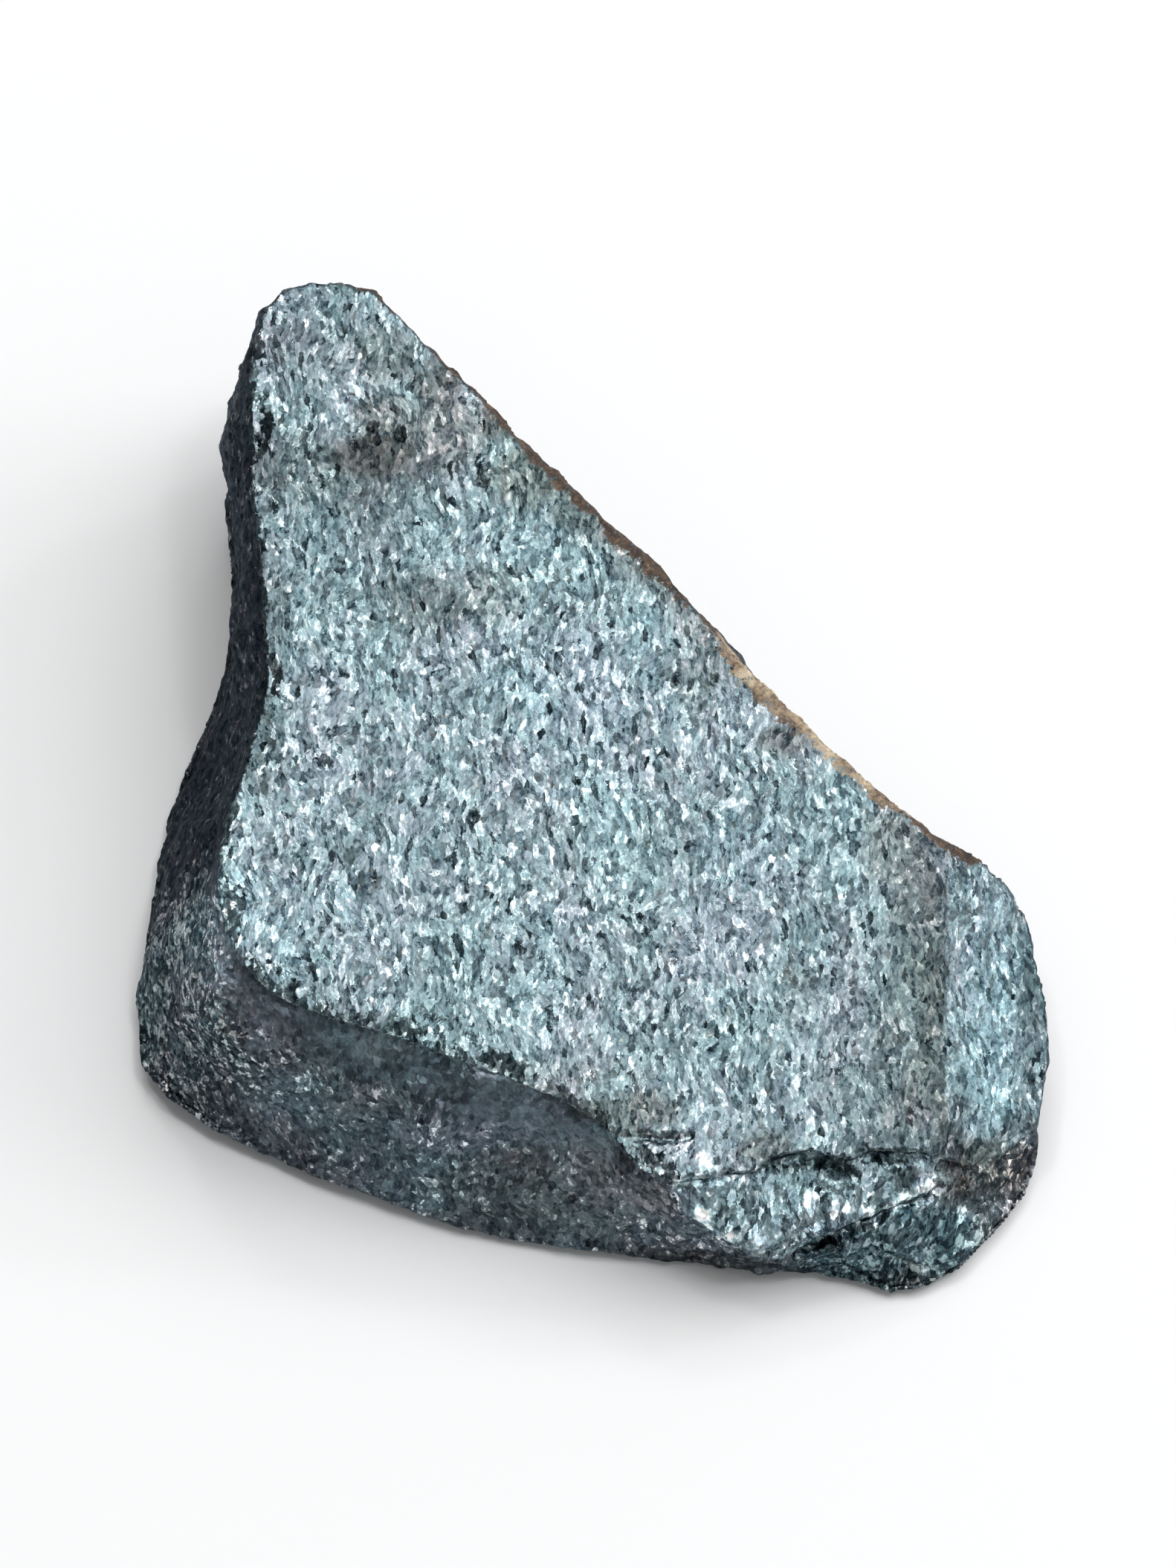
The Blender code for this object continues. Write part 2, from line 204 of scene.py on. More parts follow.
def undercut(i):
    """Rise and tuck of the wall's lower edge at station i."""
    n = len(STATIONS)
    table = UNDERCUT + [(UNDERCUT[0][0] + n, UNDERCUT[0][1], UNDERCUT[0][2])]
    for (i0, r0, t0), (i1, r1, t1) in zip(table, table[1:]):
        if i0 <= i <= i1:
            t = (i - i0) / (i1 - i0)
            t = t * t * (3.0 - 2.0 * t)
            return r0 + (r1 - r0) * t, t0 + (t1 - t0) * t
    return table[0][1:]


def rings():
    """Crest, foot and the rings between, as lists of points in millimetres."""
    crest = [under_top(u, v, drop) for (u, v), drop, _ in STATIONS]
    normals = wall_normals(crest)
    foot, upper, lower, base = [], [], [], []
    n = len(STATIONS)
    for i, ((_, drop, how), c, out) in enumerate(zip(STATIONS, crest, normals)):
        rise = undercut(i)[0] * (1.0 + 0.22 * math.sin(i * 1.37 + 1.0))
        if how[0] == HIDDEN:
            f = c + out * how[1] * (c[2] - rise)
            f[2] = rise
        else:
            f = at_height(how[0], how[1], rise)
        foot.append(f)
    foot_normals = wall_normals(foot)
    for i in range(n):
        c, f, out = crest[i], foot[i], normals[i]
        tall = c[2] - f[2]
        # walls break over once or twice on their way down
        belly = 0.045 * tall * math.sin(i * 0.45 + 0.6) + 0.03 * tall * math.sin(i * 1.27)
        upper.append(c + (f - c) * 0.36 + out * (belly + 0.02 * tall))
        lower.append(c + (f - c) * 0.72 + out * (0.035 * tall * math.sin(i * 0.61 + 2.2)))
        tuck = undercut(i)[1] * (1.0 + 0.16 * math.sin(i * 1.31))
        b = foot[i] - foot_normals[i] * tuck
        b[2] = 0.0
        base.append(b)
    return crest, upper, lower, foot, base


def make_cage():
    """The stone's faces as a closed low polyhedron."""
    crest, upper, lower, foot, base = rings()
    bm = bmesh.new()

    def ring(points):
        return [bm.verts.new(p) for p in points]

    def strip(a, b):
        n = len(a)
        for i in range(n):
            bm.faces.new((a[i], a[(i + 1) % n], b[(i + 1) % n], b[i]))

    v_crest, v_upper, v_lower, v_foot, v_base = map(ring, (crest, upper, lower, foot, base))
    strip(v_crest, v_upper)
    strip(v_upper, v_lower)
    strip(v_lower, v_foot)
    strip(v_foot, v_base)
    bm.faces.new(v_base)

    # worn rim: the crest of the hidden edges sits a little outside the top face
    n = len(STATIONS)
    inner = list(v_crest)
    rim = [i for i in range(n) if 0.0 < STATIONS[i][1] <= 0.5 and i < 18 or i >= n - 2]
    normals = wall_normals(crest)
    for i in rim:
        p = crest[i] - normals[i] * RIM_CHAMFER
        p[2] = TOP_Z + TOP_DX * p[0] + TOP_DY * p[1]
        inner[i] = bm.verts.new(p)

    # the ledge: its upper lip on the top face, its foot on the lower plate
    up = [bm.verts.new(under_top(u, v, 0.0)) for u, v in STEP]
    down = []
    for (u, v), drop in zip(STEP, STEP_DROP):
        p = under_top(u, v, 0.0)
        p[2] -= drop
        down.append(bm.verts.new(p + np.array([0.0, -0.08, 0.0])))
    ridge = [bm.verts.new(under_top(u, v, 0.0)) for u, v in RIDGE]

    for i in range(n):
        j = (i + 1) % n
        if inner[i] is v_crest[i] and inner[j] is v_crest[j]:
            continue
        loop = [v_crest[i]]
        if inner[i] is not v_crest[i]:
            loop.append(inner[i])
        loop.append(inner[j])
        if inner[j] is not v_crest[j]:
            loop.append(v_crest[j])
        bm.faces.new(loop)

    first_lip, last_lip, corner = 37, 28, 17
    # top face: round the crest from the ledge's left end, then back by the ridge
    loop = [inner[i % n] for i in range(first_lip, n + corner + 1)]
    loop += ridge + list(reversed(up))
    bm.faces.new(loop)
    # small right face
    loop = [inner[corner]] + [v_crest[i] for i in range(corner + 1, last_lip + 1)]
    loop += [down[-1], up[-1]] + list(reversed(ridge))
    bm.faces.new(loop)
    # the split plate
    loop = [v_crest[i] for i in range(last_lip, first_lip)]
    loop += down
    bm.faces.new(loop)
    # the ledge's little wall
    for i in range(len(up) - 1):
        bm.faces.new((up[i], up[i + 1], down[i + 1], down[i]))
    bm.faces.new((v_crest[first_lip - 1], v_crest[first_lip], up[0], down[0]))

    bmesh.ops.triangulate(bm, faces=bm.faces[:], quad_method="BEAUTY", ngon_method="BEAUTY")
    bmesh.ops.recalc_face_normals(bm, faces=bm.faces[:])
    mesh = bpy.data.meshes.new("cage")
    bm.to_mesh(mesh)
    bm.free()
    return mesh


# --------------------------------------------------------------- rock relief
def scatter(ix, iy, iz, k):
    """Repeatable numbers from 0 to 1 for whole-number places, k picks a set."""
    h = (
        ix.astype(np.uint32) * np.uint32(374761393)
        + iy.astype(np.uint32) * np.uint32(668265263)
        + iz.astype(np.uint32) * np.uint32(2246822519)
        + np.uint32((k * 3266489917) & 0xFFFFFFFF)
    )
    h ^= h >> np.uint32(15)
    h *= np.uint32(2246822519)
    h ^= h >> np.uint32(13)
    h *= np.uint32(3266489917)
    h ^= h >> np.uint32(16)
    return h.astype(np.float64) / 4294967296.0


def swell(p, size, seed):
    """Smooth noise from -1 to 1 over points p, with lumps of the given size."""
    q = p / size
    cell = np.floor(q).astype(np.int64)
    f = q - cell
    w = f * f * f * (f * (f * 6.0 - 15.0) + 10.0)
    total = np.zeros(len(p))
    for dx in (0, 1):
        for dy in (0, 1):
            for dz in (0, 1):
                c = cell + (dx, dy, dz)
                g = np.stack([scatter(c[:, 0], c[:, 1], c[:, 2], seed * 7 + a) * 2.0 - 1.0
                              for a in range(3)], 1)
                d = f - (dx, dy, dz)
                weight = (
                    (w[:, 0] if dx else 1.0 - w[:, 0])
                    * (w[:, 1] if dy else 1.0 - w[:, 1])
                    * (w[:, 2] if dz else 1.0 - w[:, 2])
                )
                total += weight * (g * d).sum(1)
    return total * 1.6


def scoops(p, size, seed, tilt=0.5):
    """Depth of shallow shell-shaped hollows that meet in sharp ridges, 0 to about 1."""
    q = p / size
    cell = np.floor(q).astype(np.int64)
    best = np.full(len(p), 1e9)
    for dx in (-1, 0, 1):
        for dy in (-1, 0, 1):
            for dz in (-1, 0, 1):
                c = cell + (dx, dy, dz)
                r = [scatter(c[:, 0], c[:, 1], c[:, 2], seed * 11 + a) for a in range(7)]
                d = q - (c + np.stack(r[:3], 1))
                lean = (np.stack(r[3:6], 1) - 0.5) * tilt
                best = np.minimum(best, (d * d).sum(1) * 0.8 + (d * lean).sum(1) * 2.0 + 0.35 * r[6])
    return best


def ease(lo, hi, x):
    t = np.clip((x - lo) / (hi - lo), 0.0, 1.0)
    return t * t * (3.0 - 2.0 * t)


def near_line(p, line, closed):
    """Distance of every point from a line through the given points."""
    best = np.full(len(p), 1e9)
    count = len(line) if closed else len(line) - 1
    for i in range(count):
        a, b = line[i], line[(i + 1) % len(line)]
        ab = b - a
        t = np.clip(((p - a) @ ab) / max(1e-12, ab @ ab), 0.0, 1.0)
        best = np.minimum(best, np.linalg.norm(p - (a + t[:, None] * ab), axis=1))
    return best


def relief(p, normal):
    """How far each point of the plain body moves along its normal, in mm."""
    top = np.array([-TOP_DX, -TOP_DY, 1.0])
    top /= np.linalg.norm(top)
    facing = normal @ top
    wall = 1.0 - ease(0.55, 0.9, facing)           # 0 on the cleavage faces, 1 on the walls
    d = 0.17 * swell(p, 9.0, 3) * (0.6 + 0.4 * wall)
    d += 0.10 * swell(p * (1.0, 0.55, 1.0), 3.6, 5) * (0.5 + 0.5 * wall)
    d += wall * (0.55 * (scoops(p, 4.6, 2) - 0.55) + 0.20 * (scoops(p, 2.1, 4) - 0.55))
    crest = np.array([under_top(u, v, drop) for (u, v), drop, _ in STATIONS])
    edge = near_line(p, crest, True)
    chip = ease(0.05, 0.55, swell(p, 1.5, 8)) * (1.0 - ease(0.25, 0.95, edge))
    worn = near_line(p, crest[38:52], False)       # the rubbed front edge and corner
    round_off = (1.0 - ease(0.0, 0.9, worn)) ** 2
    below = ease(0.25, 0.8, -normal[:, 2])         # 1 where it faces the table
    return (d - 0.22 * chip - 0.16 * round_off) * (1.0 - 0.8 * below)



# -------------------------------------------------------------- fine surface
FINE_VOXEL = 0.125     # spacing of the fine mesh before it is thinned, in mm
TRI_LIMIT = 190000     # triangles of the finished piece

# Cracks and grooves: a line of sight readings, depth and half width in mm
GROOVES = [
    ([(11, 145), (16, 146), (22, 146.5), (30, 147), (38, 146.5), (42, 146)], 0.30, 0.17),      # crack over the chip
    ([(12, 151), (16, 157), (20, 162)], 0.16, 0.16),
    ([(35, 170), (38, 168), (41, 166.5)], 0.26, 0.15),
    ([(44, 165), (50, 164.5), (54, 163)], 0.16, 0.13),                              # line between chip and lip
    ([(57, 162), (62, 162), (68, 162)], 0.22, 0.15),
    ([(74, 158), (79, 157), (84, 155), (92, 153), (98, 155), (104, 156)], 0.20, 0.16),
    ([(100, 161), (106, 161), (111, 163)], 0.14, 0.20),
    ([(115, 150), (119, 152), (123, 157)], 0.14, 0.13),
    ([(140, 158), (146, 154), (150, 149)], 0.12, 0.16),
    ([(82, 166), (80, 174), (79, 184), (78, 192)], 0.06, 0.22),                     # crease down the lip
    ([(57, 193), (61, 195)], 0.16, 0.13),
    ([(82, 199), (88, 195), (94, 193), (100, 190)], 0.42, 0.20),                    # under the lip's right edge
    ([(97, 193), (101, 191), (104, 187), (110, 184), (117, 182), (124, 179)], 0.42, 0.20),
    ([(127, 176), (134, 174), (141, 171), (145, 167)], 0.36, 0.16),
    ([(149, 40), (149, 58), (148, 74)], 0.08, 0.16),                                # along the ridge
    ([(150, 90), (150, 108)], 0.05, 0.14),
    ([(149, 145), (150, 152)], 0.10, 0.15),
    ([(133, 60), (134, 90), (135, 120)], 0.04, 0.14),
]
# Small pits: reading, radius and depth in mm
PITS = [((-48, 14), 0.17, 0.32), ((-77, -145), 0.22, 0.28), ((-90, -147), 0.20, 0.20),
        ((-102, -187), 0.20, 0.16), ((-102, 62), 0.13, 0.15), ((36, -42), 0.16, 0.14),
        ((52, -43), 0.18, 0.14), ((-89, 37), 0.12, 0.12), ((98, 15), 0.14, 0.14),
        ((100, 193), 0.26, 0.30), ((58, 162), 0.16, 0.16), ((133, 138), 0.18, 0.14)]


def grains(p, size, seed):
    """Plates on a jittered grid: for each point, how far it is from the nearest plate's middle,
    how much further the next one is, three random numbers of that plate, and the way to its middle."""
    q = p / size
    cell = np.floor(q).astype(np.int64)
    n = len(p)
    best = np.full(n, 1e9)
    second = np.full(n, 1e9)
    own = np.zeros((n, 3))
    off = np.zeros((n, 3))
    for dx in (-1, 0, 1):
        for dy in (-1, 0, 1):
            for dz in (-1, 0, 1):
                c = cell + (dx, dy, dz)
                r = np.stack([scatter(c[:, 0], c[:, 1], c[:, 2], seed * 13 + a) for a in range(3)], 1)
                d = q - (c + r)
                dist = (d * d).sum(1)
                closer = dist < best
                second = np.where(closer, best, np.minimum(second, dist))
                best = np.where(closer, dist, best)
                own[closer] = np.stack(
                    [scatter(c[closer, 0], c[closer, 1], c[closer, 2], seed * 13 + 5 + a) for a in range(3)], 1)
                off[closer] = d[closer]
    return np.sqrt(best), np.sqrt(second), own, off


def readings(p):
    """Sight readings of points, the inverse of sight_ray."""
    e = math.radians(SIGHT_ELEV)
    back = np.array([0.0, -math.cos(e), math.sin(e)])
    up = np.array([0.0, math.sin(e), math.cos(e)])
    w = p - (np.array([0.0, 0.0, SIGHT_Z]) + SIGHT_DIST * back)
    scale = -(w @ back) / SIGHT_DIST * READ_MM
    return w[:, 0] / scale, -(w @ up) / scale


class Sight:
    """Finds where a sight ray first meets the carved stone."""

    def __init__(self, mesh, plain, carved):
        self.plain = plain
        self.corners = [tuple(poly.vertices) for poly in mesh.polygons]
        self.tree = BVHTree.FromPolygons(carved.tolist(), self.corners)

    def spot(self, u, v):
        eye, ray = sight_ray(u, v)
        hit = self.tree.ray_cast(Vector(eye), Vector(ray))
        if hit[0] is None:
            return under_top(u, v, 0.3)
        return self.plain[list(self.corners[hit[2]])].mean(0)

    def line(self, points, step=2.5):
        """Spots along a line of readings, close enough together to follow the surface."""
        out = []
        for (u0, v0), (u1, v1) in zip(points, points[1:]):
            n = max(1, int(math.hypot(u1 - u0, v1 - v0) / step))
            out += [self.spot(u0 + (u1 - u0) * i / n, v0 + (v1 - v0) * i / n) for i in range(n)]
        return out + [self.spot(*points[-1])]


def crest_line():
    return np.array([under_top(u, v, drop) for (u, v), drop, _ in STATIONS])


def top_normal():
    top = np.array([-TOP_DX, -TOP_DY, 1.0])
    return top / np.linalg.norm(top)


def fine_relief(p, normal, flat_normal, sight):
    """Small relief on top of the carved shape, in mm: flakes, grain, chips, cracks and pits."""
    facing = flat_normal @ top_normal()
    wall = 1.0 - ease(0.62, 0.88, facing)
    crest = crest_line()
    edge = near_line(p, crest, True)
    d = np.zeros(len(p))
    # broken walls: finer shell hollows and a granular skin
    d += wall * 0.13 * (scoops(p, 1.15, 6) - 0.5)
    d += wall * 0.05 * swell(p, 0.7, 21)
    # thin plates have come off the top here and there and left low steps
    plate = swell(p * (1.0, 0.6, 1.0), 2.3, 26)
    d += (1.0 - wall) * 0.045 * (ease(-0.06, 0.02, plate) + ease(0.22, 0.30, plate))
    # crumbled edge
    rubbed = 1.0 - ease(0.5, 1.6, near_line(p, crest[36:58], False))
    d -= 0.13 * (1.0 - 0.7 * rubbed) * ease(0.05, 0.6, swell(p, 0.9, 27)) * (1.0 - ease(0.08, 0.55, edge))
    # flakes standing a little higher or lower than their neighbours
    near, nxt, own, off = grains(p, np.array([0.28, 0.50, 0.34]), 31)
    d += (0.026 + 0.030 * wall) * (own[:, 0] - 0.5) + (0.045 + 0.02 * wall) * ((off * (own - 0.5)).sum(1))
    d -= (0.012 + 0.012 * wall) * (1.0 - ease(0.0, 0.22, nxt - near))
    d += (0.014 + 0.01 * wall) * swell(p, 0.33, 22)
    for line, depth, half in GROOVES:
        pts = sight.line(line)
        lo, hi = np.min(pts, 0) - 1.2, np.max(pts, 0) + 1.2
        box = np.all((p > lo) & (p < hi), axis=1)
        away = near_line(p[box], pts, False) + 0.06 * swell(p[box], 0.45, 28)
        deep = depth * (0.75 + 0.5 * swell(p[box], 1.1, 29))
        d[box] -= deep * (1.0 - ease(0.2 * half, 1.3 * half, away))
    for (u, v), radius, depth in PITS:
        away = np.linalg.norm((p - sight.spot(u, v)) * (1.0, 0.7, 0.6), axis=1)
        d -= depth * (1.0 - ease(0.35 * radius, 1.25 * radius, away))
    return d


def read_mesh(mesh):
    n = len(mesh.vertices)
    p = np.empty(n * 3)
    mesh.vertices.foreach_get("co", p)
    normal = np.empty(n * 3)
    mesh.vertices.foreach_get("normal", normal)
    return p.reshape(n, 3) / MM, normal.reshape(n, 3)


def evaluated(obj):
    depsgraph = bpy.context.evaluated_depsgraph_get()
    mesh = bpy.data.meshes.new_from_object(obj.evaluated_get(depsgraph))
    obj.modifiers.clear()
    obj.data = mesh
    return mesh


def add_field(mesh, name, values):
    a = mesh.attributes.new(name, "FLOAT", "POINT")
    a.data.foreach_set("value", np.ascontiguousarray(values, np.float32))


def unwrap(mesh, shift):
    """A layout for baking: the top and the underside seen straight on, the walls unrolled in two rows."""
    n = len(mesh.vertices)
    p = np.empty(n * 3)
    mesh.vertices.foreach_get("co", p)
    p = p.reshape(n, 3) / MM + (shift[0], shift[1], 0.0)
    corner = np.empty(len(mesh.loops), np.int32)
    mesh.loops.foreach_get("vertex_index", corner)
    corner = corner.reshape(-1, 3)
    part = {}
    for name in ("roof", "sole"):
        values = np.empty(n, np.float32)
        mesh.attributes[name].data.foreach_get("value", values)
        part[name] = values[corner].mean(1) > 0.5
        mesh.attributes.remove(mesh.attributes[name])
    crest = crest_line()
    ring = np.vstack([crest, crest[:1]])
    along = np.concatenate([[0.0], np.cumsum(np.linalg.norm(np.diff(ring[:, :2], axis=0), axis=1))])
    heart = np.array([0.0, -4.0])
    turn = np.unwrap(np.arctan2(ring[:, 1] - heart[1], ring[:, 0] - heart[0]))
    if turn[-1] < turn[0]:
        turn, along, ring = turn[::-1], along[::-1], ring[::-1]
    turn = np.maximum.accumulate(turn)
    length = float(along.max())

    def place(angle):
        """Way along the crest, its distance from the heart and its height at an angle."""
        laps = np.floor((angle - turn[0]) / (2.0 * math.pi))
        a = angle - laps * 2.0 * math.pi
        sign = 1.0 if along[-1] > along[0] else -1.0
        reach = np.hypot(ring[:, 0] - heart[0], ring[:, 1] - heart[1])
        return (np.interp(a, turn, along) + sign * laps * length, np.interp(a, turn, reach),
                np.interp(a, turn, ring[:, 2]))

    q = p[corner]
    mid = q.mean(1)
    mid_turn = np.arctan2(mid[:, 1] - heart[1], mid[:, 0] - heart[0])
    own = np.arctan2(q[:, :, 1] - heart[1], q[:, :, 0] - heart[0])
    own = mid_turn[:, None] + (own - mid_turn[:, None] + math.pi) % (2.0 * math.pi) - math.pi
    far = np.hypot(q[:, :, 0] - heart[0], q[:, :, 1] - heart[1])
    way, reach, rim = place(own)
    mid_way, _, _ = place(mid_turn)
    lap = np.floor(mid_way / length)
    way = way - lap[:, None] * length
    row = (mid_way - lap * length > length / 2.0).astype(float)
    down = rim - q[:, :, 2] + 0.6 * np.maximum(far - reach, 0.0)
    roof, sole = part["roof"] & ~part["sole"], part["sole"]
    px = 1.0 / 1024.0
    uv = np.empty((len(corner), 3, 2))
    uv[:, :, 0] = (way - row[:, None] * length / 2.0 + 1.0) * 15.0 * px
    uv[:, :, 1] = (down + 1.2 + row[:, None] * 12.2) * 15.0 * px
    low = 15.0 * 24.3 * px
    lo = q[roof].min((0, 1))
    uv[roof, :, 0] = (q[roof, :, 0] - lo[0] + 0.4) * 18.2 * px
    uv[roof, :, 1] = low + (q[roof, :, 1] - lo[1] + 0.2) * 18.2 * px
    lo = q[sole].min((0, 1))
    uv[sole, :, 0] = 1.0 - (q[sole, :, 0] - lo[0] + 0.4) * 14.0 * px
    uv[sole, :, 1] = low + (q[sole, :, 1] - lo[1] + 0.3) * 14.0 * px
    mesh.uv_layers.new(name="OFBake").data.foreach_set("uv", uv.astype(np.float32).ravel())


def make_stone():
    cage = make_cage()
    tree_bm = bmesh.new()
    tree_bm.from_mesh(cage)
    tree = BVHTree.FromBMesh(tree_bm)
    tree_bm.free()
    for v in cage.vertices:
        v.co *= MM
    obj = bpy.data.objects.new("hematite_stone", cage)
    bpy.context.collection.objects.link(obj)
    fine = obj.modifiers.new("body", "REMESH")
    fine.mode = "VOXEL"
    fine.voxel_size = FINE_VOXEL * MM
    fine.adaptivity = 0.0
    mesh = evaluated(obj)
    p, normal = read_mesh(mesh)
    # settle every point on the true planes
    flat_normal = np.empty_like(p)
    for i in range(len(p)):
        hit = tree.find_nearest(p[i])
        p[i] = hit[0]
        flat_normal[i] = hit[1]
    under = (p[:, 2] < 0.05) & (normal[:, 2] < -0.8)
    coarse_d = relief(p, normal)
    sight = Sight(mesh, p, p + normal * coarse_d[:, None])
    fine_d = fine_relief(p, normal, flat_normal, sight)
    d = coarse_d + fine_d * (1.0 - 0.5 * ease(0.25, 0.8, -normal[:, 2]))
    moved = p + normal * d[:, None]
    moved[:, 2] = np.maximum(moved[:, 2], 0.0)
    out = np.hypot(p[:, 0] - SEAT[0], p[:, 1] - SEAT[1])
    hollow = HOLLOW * ease(0.05, 0.75, swell(p, 6.5, 9)) * ease(SEAT_REACH, SEAT_REACH + 2.5, out)
    rough = 0.03 + 0.03 * swell(p, 0.5, 23) + 0.02 * swell(p, 0.25, 24)
    moved[under, :2] = p[under, :2]
    moved[under, 2] = (hollow + np.maximum(rough, 0.0) * ease(0.0, 0.2, hollow))[under]
    middle = (moved.min(0) + moved.max(0)) / 2.0
    moved[:, 0] -= middle[0]
    moved[:, 1] -= middle[1]
    mesh.vertices.foreach_set("co", (moved * MM).ravel())
    mesh.update()
    for name, values in fields(p, normal, flat_normal, sight).items():
        add_field(mesh, name, values)
    add_field(mesh, "roof", (flat_normal @ top_normal() > 0.55).astype(float))
    add_field(mesh, "sole", (flat_normal[:, 2] < -0.6).astype(float))
    # thin it out, which takes most from the flat underside
    faces = sum(len(poly.vertices) - 2 for poly in mesh.polygons)
    thin = obj.modifiers.new("thin", "DECIMATE")
    thin.decimate_type = "COLLAPSE"
    thin.ratio = TRI_LIMIT / faces
    thin.use_collapse_triangulate = True
    mesh = evaluated(obj)
    mesh.shade_smooth()
    unwrap(mesh, middle)
    return obj, middle
# Colour zones, as sight readings: middle, radii, brightness, and tint from -1, blue, to 1, brown; most are the stone's
# own patches, some are painted shade, marked below
ZONES = [
    ((-112, -182), (24, 20), 0.82, 0.00),     # the narrow end
    ((-84, -176), (14, 14), 0.70, 0.40),
    ((-62, -166), (12, 10), 0.62, 0.70),
    ((-60, -146), (20, 16), 0.84, 0.75),
    ((-88, -136), (18, 10), 0.62, 0.95),
    ((-100, -128), (36, 22), 0.56, 0.10),
    ((-84, -154), (14, 10), 0.84, 0.80),
    ((-132, -136), (9, 20), 0.58, 0.00),
    ((-84, -102), (16, 12), 0.78, 0.00),
    ((-132, -70), (9, 40), 0.70, 0.00),
    ((-133, -14), (10, 26), 0.66, 0.00),
    ((-84, 10), (30, 12), 0.92, 0.00),
    ((-70, -76), (24, 14), 0.60, 0.15),
    ((-40, -80), (17, 12), 0.96, 0.50),
    ((-36, -150), (12, 9), 0.54, 0.70),
    ((-25, -126), (19, 15), 0.84, 0.92),
    ((-26, -104), (16, 11), 1.26, 0.10),
    ((-12, -84), (13, 16), 1.26, 0.10),
    ((0, -44), (40, 26), 1.06, -0.20),
    ((-14, -44), (22, 20), 1.08, 0.00),
    ((6, 4), (20, 24), 1.15, 0.00),
    ((12, 40), (15, 12), 1.36, 0.20),
    ((-60, -10), (40, 40), 1.00, 0.00),
    ((44, -44), (12, 12), 0.78, 0.30),
    ((82, -18), (12, 7), 0.70, 0.60),
    ((66, 30), (24, 20), 1.06, -0.20),
    ((86, 86), (12, 14), 0.88, 0.20),
    ((-118, 56), (30, 22), 1.10, -0.10),
    ((-144, 44), (14, 14), 1.22, 0.00),
    ((128, 26), (16, 18), 0.82, 0.60),
    ((112, 120), (15, 40), 0.88, 0.15),
    ((132, 136), (13, 12), 0.78, 0.40),
    ((-20, 120), (40, 6), 1.02, 0.35),        # rubbed front edge
    ((15, 136), (24, 9), 0.68, 0.70),
    ((14, 156), (4, 8), 0.60, 0.20),
    ((0, 160), (17, 13), 1.60, 0.80),         # wall left of the chip
    ((24, 174), (13, 10), 1.45, 0.80),
    # painted shade: darker band along the bottom edge of the front wall
    ((14, 199), (34, 6), 0.64, 0.30),
    # painted shadow: these zones darken the line along the ledge step over the lip
    ((74, 150), (12, 8), 0.66, 0.60),         # dark line over the lip
    ((104, 159), (11, 5), 0.34, -0.40),
    ((84, 158), (16, 4), 0.60, -0.20),
    ((128, 151), (24, 7), 0.48, -0.20),
    ((147, 148), (6, 12), 0.58, 0.00),
    ((76, 181), (38, 15), 1.16, -0.15),
    ((54, 187), (23, 14), 1.45, 0.00),
    ((72, 158), (24, 7), 0.80, 0.00),
    ((88, 176), (22, 14), 1.06, -0.20),
    ((122, 168), (20, 8), 1.06, -0.10),
    ((166, 92), (14, 60), 1.02, -0.40),       # small right face
    ((186, 104), (9, 54), 0.66, -0.30),
    ((182, 88), (10, 13), 0.82, 0.00),
    ((168, 160), (23, 15), 0.70, 0.95),       # front right corner
    ((152, 164), (8, 14), 0.55, 0.45),
    ((178, 166), (8, 8), 1.25, 0.90),
    ((112, 196), (26, 15), 0.80, -0.90),      # dark facet under the lip
    ((143, 188), (22, 16), 0.82, -0.80),
    ((116, 207), (34, 7), 0.64, 0.00),
    # painted shadow: the black line under the lip's right edge
    ((100, 193), (7, 6), 0.30, 0.00),
    # painted shade: the zones at the bottom edge below darken the foot of the front wall where it meets the table
    ((40, 200), (44, 8), 0.62, 0.60),         # foot of the front wall
    ((-20, 168), (40, 18), 0.82, 0.75),
    ((-48, 186), (40, 12), 0.68, 0.50),
    ((-106, 152), (26, 12), 0.78, -0.30),
    ((-84, 110), (14, 8), 1.60, 0.45),
    ((-118, 112), (16, 10), 0.80, 0.20),
    ((-68, 136), (26, 9), 0.84, 0.00),
    ((-160, 76), (13, 28), 1.60, -0.15),      # front left corner
    ((-126, 150), (20, 14), 0.76, 0.10),
    ((-151, 52), (12, 26), 1.50, 0.00),
    ((-152, 74), (9, 16), 1.30, 0.00),
    ((-158, 138), (22, 14), 0.66, 0.10),
]
# Outlines of the cleavage that goes on past the crest, as sight readings, and how bright it is
FACETS = [
    ([(34, 166), (38, 173), (46, 181), (56, 190), (64, 195), (72, 198), (81, 198), (90, 194), (103, 187), (124, 178),
      (147, 167), (152, 156), (142, 146), (100, 146), (60, 158), (44, 163)], 1.62),       # lip
    ([(11, 145), (24, 143), (42, 143), (50, 152), (54, 162), (40, 164), (28, 163), (18, 156)], 1.40),     # chip
]
# Painted glints: single bright spots on flakes, given as reading and radii
PAINTED_GLINTS = [
    ((102, 175), (2.2, 5)), ((108, 176), (3, 2.2)), ((117, 176), (2.2, 4)), ((127, 175), (2.6, 2.4)),
    ((131, 171), (2.4, 2.4)), ((134, 170), (3, 2.2)), ((140, 168), (4, 2.4)), ((142, 166), (3.4, 2.6)),
    ((155, 177), (2.4, 3.6)), ((157, 190), (4, 3)), ((127, 187), (2, 5)), ((115, 201), (3, 3)),
    ((118, 204), (2.4, 3)), ((127, 198), (2.4, 3)), ((139, 201), (5, 1.8)), ((112, 192), (2.2, 3)),
    ((163, 188), (2.2, 4)), ((22, 184), (2.2, 3)), ((91, 172), (2.4, 4)), ((39, 152), (2, 3)), ((47, 155), (3.4, 3)), ((51, 172), (2, 5)), ((48, 178), (4, 3)),
    ((58, 187), (6, 1.8)), ((-185, 62), (2.2, 3)), ((-170, 60), (2.6, 2.6)), ((-163, 110), (2.6, 2.6)),
    ((-88, 128), (2, 2)), ((-120, 124), (1.8, 1.8)), ((2, 120), (2.2, 3)),
]

